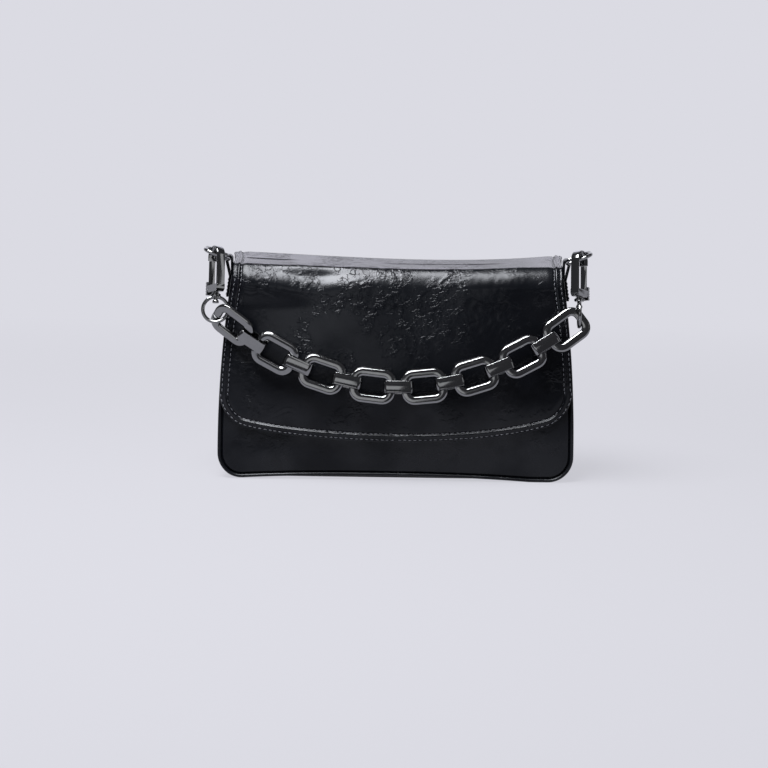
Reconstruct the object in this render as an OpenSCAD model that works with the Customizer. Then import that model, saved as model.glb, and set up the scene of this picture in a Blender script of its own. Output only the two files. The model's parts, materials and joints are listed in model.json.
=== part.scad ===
// Flap shoulder bag with a chain strap.
// Millimetres. +Z is up, +X is the wearer's right of the picture, the front faces -Y.
// The origin is on the floor under the middle of the bag.

/* [Body] */
// Width of the body at its widest
body_w = 280; // [250:5:320]
// Height of the body panels up to the mouth
body_h = 160; // [140:2:175]
// Depth between the front and back seams at the base
base_d = 62; // [56:2:72]
// Depth between the front and back seams at the mouth
mouth_d = 44; // [40:2:50]
// Radius of the lower corners
corner_r = 20; // [14:1:26]
// How far each side draws in from the lower corner to the mouth
side_draw = 10.6; // [6:0.2:12]
// How far the middle of the front panel swells past its seams
front_bulge = 10; // [6:0.5:12]
// How far the middle of the back panel swells past its seams
back_bulge = 4; // [2:0.5:6]
// Thickness of the body leather
leather_t = 1.6; // [1.2:0.1:2]
// Thickness of the lining
lining_t = 1; // [0.8:0.1:1.4]
// Radius of the seam piping
piping_r = 1.4; // [1.2:0.1:1.6]
// Thickness of the base board
board_t = 1.5; // [1:0.1:2]

/* [Flap] */
// Thickness of the flap leather
flap_leather_t = 1.4; // [1.2:0.1:1.6]
// Thickness of the flap lining
flap_lining_t = 1.1; // [0.8:0.1:1.3]
// Outer radius of the roll at the front top edge
roll_r = 8.7; // [8:0.1:10]
// How far each side of the flap lies in from the side of the body
flap_inset = 0.8; // [0:0.1:3]
// Height of the middle of the lower edge above the floor
flap_low_z = 32; // [24:1:40]
// How much the lower edge rises towards the corners
flap_sag = 12; // [3:0.5:16]
// Radius of the lower flap corners
flap_corner_r = 21; // [14:1:26]

/* [Closure] */
// Radius of the magnet socket and plug
magnet_r = 8; // [6:0.5:9]
// Height of the magnets above the floor
magnet_z = 54; // [48:1:60]
// Thickness of the washer behind the socket
washer_t = 0.8; // [0.6:0.1:1]

/* [Strap rings] */
// Radius of the ring wire
dring_wire_r = 1.5; // [1.2:0.1:1.6]
// Distance between the middles of the two branches
dring_span = 22; // [20:1:24]
// Distance from the bar to the far end, wire middles
dring_reach = 19.5; // [19:0.5:21]
// Tilt of the rings above the horizontal, in degrees
dring_tilt = 22; // [16:1:30]
// Width of the leather tab
tab_w = 10; // [8:1:10]
// Thickness of the tab's sewn part
tab_t = 3; // [2.4:0.2:3.4]

/* [Snap hooks] */
// How far each hook hangs out past the widest side of the body
hook_out = 1; // [0.5:0.5:2]
// Inside width of the hook
hook_gap = 10.4; // [10.2:0.2:10.8]
// Thickness of the spine and the gate
hook_bar = 3; // [2.6:0.2:3.2]
// Width of the spine's flat face
hook_face = 7; // [6:0.2:7.4]
// Turn of each hook about its stem, in degrees
hook_turn = 32; // [25:1:34]
// Radius of the stem
stem_r = 1.6; // [1.3:0.1:1.8]
// Radius of the stem's round head
stem_head_r = 2.5; // [2.2:0.1:2.9]
// Height of the head, which is flat below
stem_head_h = 3.4; // [2.6:0.1:3.5]
// Radius of the swivel ring, wire middle
eye_r = 9.8; // [9.6:0.1:10.2]
// Radius of the swivel ring's wire
eye_wire_r = 1.4; // [1.2:0.1:1.5]
// Radius of the gate pin
pin_r = 0.9; // [0.7:0.1:1]

/* [Chain] */
// Width of a large link
link_w = 27.3; // [26:0.1:28.5]
// Width of a large link's bar
link_bar = 6.7; // [6:0.1:7]
// Thickness of a large link's bar
link_t = 4.4; // [4:0.1:4.8]
// Outer corner radius of a large link
link_corner = 10; // [8:0.5:11]
// Edge bevel of a large link's bar
link_bevel = 1.1; // [0.8:0.1:1.3]
// Width of a connector band
conn_w = 9.2; // [9:0.2:11]
// Thickness of a connector band
conn_t = 2; // [1.6:0.1:2.2]
// Inside depth of a connector, front to back
conn_depth = 7.8; // [7.4:0.1:8.4]
// Free length between one large link and the next
link_space = 4.4; // [4:0.1:5]
// How much longer the chain is than the distance between its ends
chain_slack = 27.6; // [20:0.5:34]
// Lean of the hanging strap in front of the bag, in degrees
strap_lean = 16; // [14:0.5:20]
// How far the lowest point lies to the right of the bag's middle
chain_x = 1.8; // [0:0.2:2.4]

/* [Hidden] */
$fn = 40;

// Clearances
ply_gap = 0.1; // between two plies that are sewn together
seam_gap = 0.4; // between a panel, its piping and the gusset
flap_gap = 1.3; // between the flap and the front panel
lap_gap = 0.3; // between the flap's top and the roll under it
tab_gap = 0.2; // between the tab and what it lies on
pin_fit = 0.03; // radial play of a fixed pin or stem
turn_fit = 0.06; // radial play of a turning pin or stem
cut = 1; // overrun of a cutting shape
lining_gap = 1.4; // between the panels and the lining, where the magnet's washer lies

// Body places
flap_t = flap_leather_t + ply_gap + flap_lining_t;
flap_top_w = body_w - 2 * (side_draw + flap_inset);
flap_low_w = body_w - 2 * flap_inset;
panel_inset = 2 * piping_r + ply_gap;
gusset_inset = 0.8;
gusset_t = leather_t;
swell_share = 0.85;
col_shares = [for (i = [0:16]) sin(90 * (i - 8) / 8)];
row_shares = [0.08, 0.17, 0.27, 0.38, 0.5, 0.62, 0.74, 0.87, 1];
corner_angles = [0, 18, 36, 54, 72];

// Half the width of the silhouette at a height, drawn in by an inset
function side_x(z, half, inset = 0) =
  let (c = half - corner_r, r = corner_r - inset)
  z < corner_r
    ? c + sqrt(max(0, r * r - (corner_r - z) * (corner_r - z)))
    : half - inset - side_draw * pow((z - corner_r) / (body_h - corner_r), 2);
// Half the depth between the seams at a height
function seam_y(z) = base_d / 2 - (base_d - mouth_d) / 2 * z / body_h;
// How much a panel swells at a place, as a share of its full bulge
function swell(x, z) =
  let (s = max(0, min(1, z / body_h)), e = x / side_x(max(z, corner_r), body_w / 2))
  sin(180 * pow(s, swell_share)) * max(0, 1 - e * e);
// Outer faces of the front and back panels
function front_y(x, z) = -seam_y(z) - front_bulge * swell(x, z);
function back_y(x, z) = seam_y(z) + back_bulge * swell(x, z);
// Heights of the rows of a panel from its lowest edge to the mouth
function panel_rows(inset, top) = concat(
  [for (a = corner_angles) corner_r - (corner_r - inset) * cos(a)],
  [for (s = row_shares) corner_r + (top - corner_r) * s]
);

// A loft through sections that have the same even number of points. The second half of a section
// runs back along the first, and its faces are split the same way, so that plies lie parallel.
module loft(sections, ring = false) {
  n = len(sections[0]);
  m = len(sections);
  last = ring ? m : m - 1;
  points = [for (s = sections) each s];
  sides = [
    for (r = [0:last - 1], i = [0:n - 1])
      let (a = r * n + i, b = r * n + (i + 1) % n, c = ((r + 1) % m) * n + i)
      let (d = ((r + 1) % m) * n + (i + 1) % n)
      each i < n / 2 ? [[a, c, b], [b, c, d]] : [[a, c, d], [a, d, b]]
  ];
  end = (m - 1) * n;
  caps = ring ? [] : [
    for (i = [0:n / 2 - 2])
      let (j = n - 1 - i)
      each [
        [i, i + 1, j], [i + 1, j - 1, j],
        [end + i, end + j, end + i + 1], [end + i + 1, end + j, end + j - 1]
      ]
  ];
  polyhedron(points = points, faces = concat(sides, caps), convexity = 6);
}

// A body panel between an outer and an inner face
module panel(side, bulge_y) {
  loft([
    for (z = panel_rows(panel_inset, body_h))
      let (w = side_x(z, body_w / 2, panel_inset))
      concat(
        [for (s = col_shares) [side * w * s, bulge_y(w * s, z), z]],
        [for (s = col_shares) [-side * w * s, bulge_y(w * s, z) + side * leather_t, z]]
      )
  ]);
}
module front_panel() {
  color("#101116")
  difference() {
    panel(1, function (x, z) front_y(x, z));
    at_magnet()
    translate([0, 0, -cut])
    cylinder(r = magnet_r + ply_gap, h = magnet_t + 2 * cut);
  }
}
module back_panel() {
  color("#101116")
  panel(-1, function (x, z) back_y(x, z));
}

// Stations along the outline from the left mouth corner round the base to the right one
function outline(inset, bottom, top) =
  let (c = body_w / 2 - corner_r, r = corner_r - inset)
  let (rise = [for (s = row_shares) corner_r + (top - corner_r) * s])
  let (right = concat(
    [for (a = [0:15:75]) [c + r * sin(a), corner_r - (corner_r - bottom) * cos(a)]],
    [[side_x(corner_r, body_w / 2, inset), corner_r]],
    [for (z = rise) [side_x(z, body_w / 2, inset), z]]
  ))
  let (n = len(right))
  concat([for (i = [0:n - 1]) [-right[n - 1 - i].x, right[n - 1 - i].y]], right);

module gusset() {
  outer = outline(gusset_inset, 0, body_h);
  inner = outline(gusset_inset + gusset_t, gusset_t, body_h);
  edge = leather_t + seam_gap;
  color("#0e0f14")
  loft([
    for (i = [0:len(outer) - 1])
      let (o = outer[i], n = inner[i], yo = seam_y(o.y) - edge, yi = seam_y(n.y) - edge)
      [[o.x, -yo, o.y], [o.x, yo, o.y], [n.x, yi, n.y], [n.x, -yi, n.y]]
  ]);
}

module piping(side) {
  path = outline(piping_r, piping_r, body_h);
  last = len(path) - 1;
  color("#15161b")
  loft([
    for (i = [0:last])
      let (p = path[i], d = path[min(i + 1, last)] - path[max(i - 1, 0)], f = d / norm(d))
      [
        for (a = [22.5:45:360])
          let (across = piping_r * cos(a), out = -piping_r * sin(a))
          [p.x + f.y * out, side * (seam_y(p.y) - seam_gap) + across, p.y - f.x * out]
      ]
  ]);
}
module front_piping() { piping(-1); }
module back_piping() { piping(1); }

// A closed loop round the inside of the bag at a height, drawn in from the panels by an offset.
// Its corners stop short of its ends, which rounds them.
loop_share = 0.98;
function mouth_loop(z, off) =
  let (w = side_x(z, body_w / 2, gusset_inset) - gusset_t - off)
  let (k = leather_t + off)
  concat(
    [[-w, 0, z]],
    [for (s = col_shares) [w * s * loop_share, front_y(w * s, z) + k, z]],
    [[w, 0, z]],
    [for (s = col_shares) [-w * s * loop_share, back_y(w * s, z) - k, z]]
  );

board_z = gusset_t + ply_gap;
lining_z = board_z + board_t + ply_gap;
module base_board() {
  x = body_w / 2 - corner_r;
  y = base_d / 2 - leather_t - seam_gap - lining_gap;
  color("#3a3a3c")
  translate([-x, -y, board_z])
  cube([2 * x, 2 * y, board_t]);
}
module lining() {
  rows = panel_rows(lining_z, body_h);
  last = len(rows) - 1;
  color("#26262b")
  loft(concat(
    [for (i = [0:last]) mouth_loop(rows[i], lining_gap)],
    [for (i = [0:last]) let (z = rows[last - i]) mouth_loop_at(z, lining_gap + lining_t)]
  ));
}
// The inner face of the lining stands one lining thickness above its outer face at the base
function mouth_loop_at(z, off) =
  [for (p = mouth_loop(z, off)) [p.x, p.y, max(z, lining_z + lining_t)]];

binding_h = 1.2;
module mouth_binding() {
  low = body_h + ply_gap;
  high = low + binding_h;
  out = mouth_loop(body_h, -leather_t / 2);
  in = mouth_loop(body_h, lining_gap + lining_t);
  color("#15161b")
  loft([
    [for (p = out) [p.x, p.y, low]],
    [for (p = out) [p.x, p.y, high]],
    [for (p = in) [p.x, p.y, high]],
    [for (p = in) [p.x, p.y, low]]
  ], ring = true);
}

// The closure sits square to the front panel
magnet_t = leather_t;
magnet_hole_r = 2;
washer_in = 0.8; // how much smaller the washer is than the socket
plug_t = flap_lining_t - 3 * ply_gap;
slope_step = 1; // half the height over which the panel's slope is taken
function magnet_slope() =
  let (dy = front_y(0, magnet_z + slope_step) - front_y(0, magnet_z - slope_step))
  atan(dy / (2 * slope_step));
module at_magnet() {
  translate([0, front_y(0, magnet_z), magnet_z])
  rotate([-90 - magnet_slope(), 0, 0])
  children();
}
module magnet_socket() {
  color("#55575b")
  at_magnet()
  difference() {
    translate([0, 0, ply_gap / 2])
    cylinder(r = magnet_r, h = magnet_t);
    translate([0, 0, -cut])
    cylinder(r = magnet_hole_r, h = magnet_t / 2 + cut);
  }
}
module magnet_washer() {
  color("#55575b")
  at_magnet()
  translate([0, 0, magnet_t + ply_gap])
  difference() {
    cylinder(r = magnet_r - washer_in, h = washer_t);
    translate([0, 0, -cut])
    cylinder(r = magnet_hole_r, h = washer_t + 2 * cut);
  }
}

// Flap: the back strip is sewn on, the top folds at the back edge, the front folds at the roll
roll_rise = 1; // from the mouth up to the middle of the roll
fold_out = 1; // from the back seam out to the back fold
roll_z = body_h + roll_rise;
roll_y = -seam_y(body_h) - flap_gap - flap_t + roll_r;
top_z = roll_z + roll_r + lap_gap;
fold_y = seam_y(body_h) + fold_out;
function flap_x(z) =
  flap_low_w / 2
    - (flap_low_w - flap_top_w) / 2 * pow(max(0, z - flap_low_z) / (roll_z - flap_low_z), 2);

strip_h = 28;
module flap_back_strip() {
  rows = [body_h - strip_h, body_h - strip_h / 2, body_h, top_z - ply_gap];
  color("#101116")
  loft([
    for (z = rows)
      let (w = flap_top_w / 2 - piping_r, g = piping_r - leather_t / 2 + seam_gap)
      concat(
        [for (s = col_shares) [w * s, back_y(w * s, min(z, body_h)) + g, z]],
        [for (s = col_shares) [-w * s, back_y(w * s, min(z, body_h)) + g + flap_leather_t, z]]
      )
  ]);
}

module flap_top_ply(low, thick) {
  translate([-flap_top_w / 2, roll_y, top_z + low])
  cube([flap_top_w, fold_y - roll_y, thick]);
}
module flap_top_lining() {
  color("#26262b")
  flap_top_ply(0, flap_lining_t);
}
module flap_top_leather() {
  color("#101116")
  flap_top_ply(flap_lining_t + ply_gap, flap_leather_t);
}

// The front part of the flap, from the top of the roll to the curved lower edge.
// k runs from 0 at the lower edge to 1 at the height of the roll's middle.
roll_angles = [90, 67.5, 45, 22.5];
flap_row_shares = [0.14, 0.28, 0.42, 0.56, 0.7, 0.85, 1];
function low_edge_z(s) = flap_low_z + flap_sag * s * s;
function flap_front_row(w, z_of, off, way) = [
  for (s = col_shares)
    let (z = z_of(way * s), x = w * way * s)
    [x, front_y(x * body_w / flap_low_w, z) - flap_gap - flap_t + off, z]
];
function flap_front_section(w, z_of, off, thick) = concat(
  flap_front_row(w, z_of, off, 1), flap_front_row(w, z_of, off + thick, -1)
);
function roll_section(a, off, thick) = let (w = flap_top_w / 2) concat(
  [for (s = col_shares) [w * s, roll_y - (roll_r - off) * cos(a), roll_z + (roll_r - off) * sin(a)]],
  [
    for (s = col_shares)
      let (r = roll_r - off - thick)
      [-w * s, roll_y - r * cos(a), roll_z + r * sin(a)]
  ]
);
module flap_front_ply(off, thick) {
  r = flap_corner_r;
  half = flap_low_w / 2;
  corner = [
    for (a = corner_angles)
      flap_front_section(
        half - r + r * sin(a), function (s) low_edge_z(s) + r * (1 - cos(a)), off, thick
      )
  ];
  rise = [
    for (k = flap_row_shares)
      let (z_of = function (s)
        let (low = low_edge_z(s) + r) low + (roll_z - low) * k)
      flap_front_section(flap_x(z_of(0)), z_of, off, thick)
  ];
  roll = [for (i = [3:-1:0]) roll_section(roll_angles[i], off, thick)];
  loft(concat(corner, rise, roll));
}
module flap_front_leather() {
  color("#101116")
  flap_front_ply(0, flap_leather_t);
}
module flap_front_lining() {
  color("#26262b")
  difference() {
    flap_front_ply(flap_leather_t + ply_gap, flap_lining_t);
    at_magnet()
    translate([0, 0, -flap_gap - flap_lining_t - ply_gap])
    cylinder(r = magnet_r + ply_gap, h = flap_gap + cut);
  }
}
module magnet_plug() {
  color("#55575b")
  at_magnet()
  translate([0, 0, -flap_gap - plug_t])
  cylinder(r = magnet_r, h = plug_t);
}

// Strap rings and their tabs. The swing axis runs through both front branches.
swing_out = 0.5; // from the front seam at the mouth out to the swing axis
swing_rise = 15.5; // from the mouth up to the swing axis
swing_y = -seam_y(body_h) - swing_out;
swing_z = body_h + swing_rise;
hook_x = body_w / 2 + hook_out;
bar_to_hook = 9.6; // from the ring's bar to the hook's middle, along the ring
dring_y = swing_y + dring_span / 2;
bar_x = hook_x - bar_to_hook * cos(dring_tilt);
bar_z = swing_z - bar_to_hook * sin(dring_tilt);
dring_far_r = 6;
dring_near_r = 3;
tab_h = 18; // how far the tab reaches down from the mouth
tab_drop = 2; // how far under the mouth the tab leaves the gusset
tab_top = body_h - tab_drop;
tab_meet = 24; // angle at which the tab meets its loop

// Snap hook places, from the swing axis along the hook
nose_gap = 4; // from the axis to the inside of the arch
nose_h = 3;
gate_gap = 0.3;
base_z = -23.7;
base_h = 5.6;
base_bevel = 2;
hook_bevel = 0.6;
hook_wall = 1.2;
hook_inner = 3;
pivot_drop = 2.6; // from the top of the hook's foot down to the gate pin
pivot_z = base_z - pivot_drop;
slot_w = 3.5;
slot_in = 2.6;
stem_in = 4.6;
neck_h = 1.2;
neck_r = 2.2;
collar_r = 3.9;
eye_z = -42.9;
head_gap = 0.2;
left_eye_turn = 0;
right_eye_turn = 88;
gate_face = 5.4;
gate_low = 3.4; // lower end of the gate bar above its pivot
tongue_r = 1.5;
tongue_t = 1.8;
knob_gap = 1.1;
knob_t = 2;
knob_w = 6;
knob_low = -4.6;
knob_h = 10.4;
knob_neck = 2.4;
ridges = 5;
ridge_r = 0.5;
spring_r = 1.9;

// Chain places
links = 8;
end_in = 0.34; // how far the chain's end bars lie in from the middles of the hooks
end_drop = 46.2; // how far they lie below the swing axis
link_rolls = [44, 18, 0, 0, 0, 0, 0, 0]; // the first links turn over to reach the left ring
conn_rolls = [33, 8, 0, 0, 0, 0, 0];
conn_play = 0.8;
conn_corner = 2.6;
conn_bevel = 0.4;

// A closed loop of one section along a rounded rectangle, flat in the XY plane.
// The child is the section, with its X pointing outwards from the loop.
module wire_corner(x, y, r, start) {
  translate([x, y, 0])
  rotate([0, 0, start])
  rotate_extrude(angle = 90)
  translate([r, 0])
  children();
}
module wire_run(turn, out, from, length) {
  rotate([0, 0, turn])
  translate([out, from, 0])
  rotate([90, 0, 0])
  linear_extrude(length)
  children();
}
module wire_loop(half_l, half_w, r_far, r_near) {
  far = half_l - r_far;
  near = half_l - r_near;
  wire_corner(far, half_w - r_far, r_far, 0) children();
  wire_corner(-near, half_w - r_near, r_near, 90) children();
  wire_corner(-near, r_near - half_w, r_near, 180) children();
  wire_corner(far, r_far - half_w, r_far, 270) children();
  wire_run(0, half_l, half_w - r_far, 2 * (half_w - r_far)) children();
  wire_run(90, half_w, near, near + far) children();
  wire_run(180, half_l, half_w - r_near, 2 * (half_w - r_near)) children();
  wire_run(270, half_w, far, near + far) children();
}
module bevelled(w, t, bevel) {
  x = w / 2;
  y = t / 2;
  polygon([
    [x, y - bevel], [x - bevel, y], [bevel - x, y], [-x, y - bevel],
    [-x, bevel - y], [bevel - x, -y], [x - bevel, -y], [x, bevel - y]
  ]);
}

module right_side(side) {
  if (side > 0) {
    children();
  } else {
    mirror([1, 0, 0]) children();
  }
}
module dring(side) {
  color("#6f7174")
  right_side(side)
  translate([bar_x, dring_y, bar_z])
  rotate([0, -dring_tilt, 0])
  translate([dring_reach / 2, 0, 0])
  wire_loop(dring_reach / 2, dring_span / 2, dring_far_r, dring_near_r)
  circle(r = dring_wire_r);
}
module left_dring() { dring(-1); }
module right_dring() { dring(1); }

module tab(side) {
  loop_r = dring_wire_r + turn_fit + leather_t;
  low = body_h - tab_h;
  x_low = side_x(low, body_w / 2, gusset_inset) + tab_gap;
  x_top = side_x(tab_top, body_w / 2, gusset_inset) + tab_gap;
  color("#101116")
  right_side(side)
  translate([0, dring_y, 0])
  rotate([90, 0, 0])
  difference() {
    union() {
      translate([bar_x, bar_z, -tab_w / 2])
      cylinder(r = loop_r, h = tab_w);
      translate([0, 0, -tab_w / 2])
      linear_extrude(tab_w)
      polygon([
        [x_low, low], [x_low + tab_t, low], [x_top + tab_t, tab_top],
        [bar_x + loop_r * cos(tab_meet), bar_z - loop_r * sin(tab_meet)],
        [bar_x - loop_r * cos(tab_meet), bar_z - loop_r * sin(tab_meet)], [x_top, tab_top]
      ]);
    }
    translate([bar_x, bar_z, -tab_w])
    cylinder(r = dring_wire_r + turn_fit, h = 2 * tab_w);
  }
}
module left_tab() { tab(-1); }
module right_tab() { tab(1); }

// Everything below is drawn in the plane of the strap: X across, Z up, the swing axis at zero
module in_strap() {
  translate([0, swing_y, swing_z])
  rotate([-strap_lean, 0, 0])
  children();
}
// Snap hook: X from the spine to the gate, Y through its thickness, Z up
module in_hook(side) {
  right_side(side)
  in_strap()
  translate([hook_x, 0, 0])
  rotate([0, 0, 90 - hook_turn])
  children();
}
module hook_section(face) {
  x = hook_bar / 2;
  y = face / 2;
  b = hook_bevel;
  polygon([
    [x, y - b], [x - b, y], [x - hook_wall, y], [-x, hook_inner / 2],
    [-x, -hook_inner / 2], [x - hook_wall, -y], [x - b, -y], [x, b - y]
  ]);
}
bar_mid = hook_gap / 2 + hook_bar / 2;
arch_z = nose_gap - hook_gap / 2;
gate_top = arch_z - nose_h - gate_gap;
module hook_body(side) {
  edge = hook_gap / 2 + hook_bar;
  color("#6f7174")
  in_hook(side)
  difference() {
    union() {
      translate([0, 0, arch_z])
      rotate([90, 0, 0])
      rotate_extrude(angle = 180)
      translate([bar_mid, 0])
      hook_section(hook_face);
      translate([-bar_mid, 0, base_z - base_bevel])
      rotate([0, 0, 180])
      linear_extrude(arch_z - base_z + base_bevel)
      hook_section(hook_face);
      translate([bar_mid, 0, arch_z - nose_h])
      linear_extrude(nose_h)
      hook_section(hook_face);
      translate([0, hook_face / 2, 0])
      rotate([90, 0, 0])
      linear_extrude(hook_face)
      polygon([
        [-edge, base_z], [edge, base_z], [edge, base_z - base_h + base_bevel],
        [edge - base_bevel, base_z - base_h], [base_bevel - edge, base_z - base_h],
        [-edge, base_z - base_h + base_bevel]
      ]);
    }
    translate([bar_mid - slot_in, -slot_w / 2, base_z - base_h - cut])
    cube([edge, slot_w, base_h + 2 * cut]);
    translate([bar_mid, hook_face, pivot_z])
    rotate([90, 0, 0])
    cylinder(r = pin_r + pin_fit, h = 2 * hook_face);
    translate([0, 0, base_z - base_h - cut])
    cylinder(r = stem_r + pin_fit, h = stem_in + cut);
  }
}
module left_hook_body() { hook_body(-1); }
module right_hook_body() { hook_body(1); }

neck_z = base_z - base_h - pin_fit;
collar_z = neck_z - neck_h - turn_fit;
head_top = eye_z + eye_r - eye_wire_r - head_gap;
head_z = head_top - stem_head_r;
module hook_stem(side) {
  color("#8a8c8f")
  in_hook(side) {
    translate([0, 0, head_z])
    cylinder(r = stem_r, h = base_z - base_h + stem_in - pin_fit - head_z);
    translate([0, 0, neck_z - neck_h])
    cylinder(r = neck_r, h = neck_h);
    intersection() {
      translate([0, 0, head_z])
      sphere(r = stem_head_r);
      translate([0, 0, head_top - stem_head_h])
      cylinder(r = stem_head_r, h = stem_head_h);
    }
  }
}
module left_hook_stem() { hook_stem(-1); }
module right_hook_stem() { hook_stem(1); }

module swivel_eye(side, turn) {
  low = eye_z + eye_r;
  high = collar_z;
  color("#85878a")
  right_side(side)
  in_strap()
  translate([hook_x, 0, 0])
  rotate([0, 0, turn])
  difference() {
    union() {
      translate([0, 0, eye_z])
      rotate([90, 0, 0])
      rotate_extrude()
      translate([eye_r, 0])
      circle(r = eye_wire_r);
      rotate_extrude()
      polygon([
        [0, low], [collar_r - hook_bevel, low], [collar_r, low + hook_bevel],
        [collar_r, high - hook_bevel], [collar_r - hook_bevel, high], [0, high]
      ]);
    }
    translate([0, 0, eye_z + eye_r - eye_wire_r - cut])
    cylinder(r = stem_r + turn_fit, h = collar_z - eye_z - eye_r + eye_wire_r + 2 * cut);
  }
}
module left_swivel_eye() { swivel_eye(-1, left_eye_turn); }
module right_swivel_eye() { swivel_eye(1, right_eye_turn); }

module gate(side) {
  knob_x = hook_bar / 2 + knob_gap;
  color("#4c4e52")
  in_hook(side)
  translate([bar_mid, 0, pivot_z])
  difference() {
    union() {
      translate([0, 0, gate_low])
      linear_extrude(gate_top - pivot_z - gate_low)
      hook_section(gate_face);
      translate([-tongue_r, -slot_w / 2 + turn_fit, 0])
      cube([2 * tongue_r, tongue_t, gate_low + turn_fit]);
      translate([0, tongue_t - slot_w / 2 + turn_fit, 0])
      rotate([90, 0, 0])
      cylinder(r = tongue_r, h = tongue_t);
      translate([knob_x, -knob_w / 2, knob_low])
      cube([knob_t, knob_w, knob_h]);
      translate([0, -knob_w / 2 + hook_bevel, knob_low + knob_h - knob_neck])
      cube([knob_x + knob_t / 2, knob_w - 2 * hook_bevel, knob_neck]);
      for (i = [0:ridges - 1])
        translate([knob_x + knob_t, 0, knob_low + knob_h * (i + 0.5) / ridges])
        rotate([90, 0, 0])
        cylinder(r = ridge_r, h = knob_w, center = true);
    }
    rotate([90, 0, 0])
    cylinder(r = pin_r + turn_fit, h = 2 * hook_face, center = true);
  }
}
module left_gate() { gate(-1); }
module right_gate() { gate(1); }
module gate_pin(side) {
  color("#8a8c8f")
  in_hook(side)
  translate([bar_mid, 0, pivot_z])
  rotate([90, 0, 0])
  cylinder(r = pin_r, h = hook_face, center = true);
}
module left_gate_pin() { gate_pin(-1); }
module right_gate_pin() { gate_pin(1); }
module gate_spring(side) {
  from = tongue_t - slot_w / 2 + 3 * turn_fit;
  color("#b0b0b0")
  in_hook(side)
  translate([bar_mid, from, pivot_z])
  rotate([-90, 0, 0])
  difference() {
    cylinder(r = spring_r, h = slot_w / 2 - from - turn_fit);
    translate([0, 0, -cut])
    cylinder(r = pin_r + turn_fit, h = slot_w + cut);
  }
}
module left_gate_spring() { gate_spring(-1); }
module right_gate_spring() { gate_spring(1); }

// The chain hangs in a catenary. s is the length along it from its lowest point.
// The radius at the lowest point is the one whose span reaches from hook to hook.
half_span = hook_x - end_in;
half_chain = half_span + chain_slack / 2;
chain_pitch = (2 * half_chain + link_space + link_bar) / links;
link_l = chain_pitch - link_space;
function arc_sinh(k) = ln(k + sqrt(1 + k * k));
function curve_between(low, high, tries) =
  let (a = (low + high) / 2)
  tries == 0 ? a
    : a * arc_sinh(half_chain / a) < half_span ? curve_between(a, high, tries - 1)
    : curve_between(low, a, tries - 1);
chain_curve = curve_between(half_chain / 10, half_chain * 10, 50);
chain_drop = end_drop + sqrt(pow(chain_curve, 2) + pow(half_chain, 2)) - chain_curve;
function chain_at(s) =
  let (a = chain_curve, k = s / a)
  [chain_x + a * arc_sinh(k), 0, a * sqrt(1 + k * k) - a - chain_drop];
module on_chain(s, roll) {
  in_strap()
  translate(chain_at(s))
  rotate([0, -atan(s / chain_curve), 0])
  rotate([roll, 0, 0])
  children();
}
module chain_link(i) {
  r = link_corner - link_bar / 2;
  color("#8d8f92")
  on_chain((i - (links + 1) / 2) * chain_pitch, link_rolls[i - 1])
  rotate([90, 0, 0])
  wire_loop((link_l - link_bar) / 2, (link_w - link_bar) / 2, r, r)
  bevelled(link_bar, link_t, link_bevel);
}
module link_1() { chain_link(1); }
module link_2() { chain_link(2); }
module link_3() { chain_link(3); }
module link_4() { chain_link(4); }
module link_5() { chain_link(5); }
module link_6() { chain_link(6); }
module link_7() { chain_link(7); }
module link_8() { chain_link(8); }
module connector(i) {
  inner_l = 2 * link_bar + chain_pitch - link_l + 2 * conn_play;
  color("#7c7e81")
  on_chain((i - links / 2) * chain_pitch, conn_rolls[i - 1])
  wire_loop((inner_l + conn_t) / 2, (conn_depth + conn_t) / 2, conn_corner, conn_corner)
  bevelled(conn_t, conn_w, conn_bevel);
}
module connector_1() { connector(1); }
module connector_2() { connector(2); }
module connector_3() { connector(3); }
module connector_4() { connector(4); }
module connector_5() { connector(5); }
module connector_6() { connector(6); }
module connector_7() { connector(7); }

front_panel();
back_panel();
gusset();
front_piping();
back_piping();
base_board();
lining();
mouth_binding();
magnet_socket();
magnet_washer();
flap_back_strip();
left_tab();
right_tab();
left_dring();
right_dring();
flap_top_leather();
flap_top_lining();
flap_front_leather();
flap_front_lining();
magnet_plug();
left_hook_body();
left_hook_stem();
left_gate_pin();
left_gate_spring();
left_gate();
left_swivel_eye();
right_hook_body();
right_hook_stem();
right_gate_pin();
right_gate_spring();
right_gate();
right_swivel_eye();
link_1();
link_2();
link_3();
link_4();
link_5();
link_6();
link_7();
link_8();
connector_1();
connector_2();
connector_3();
connector_4();
connector_5();
connector_6();
connector_7();
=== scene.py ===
"""Flap shoulder bag with a chain strap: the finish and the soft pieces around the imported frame."""

import json
import math

import bmesh
import bpy
from bpy.props import FloatProperty, FloatVectorProperty, PointerProperty
from mathutils import Matrix, Vector, noise

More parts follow.
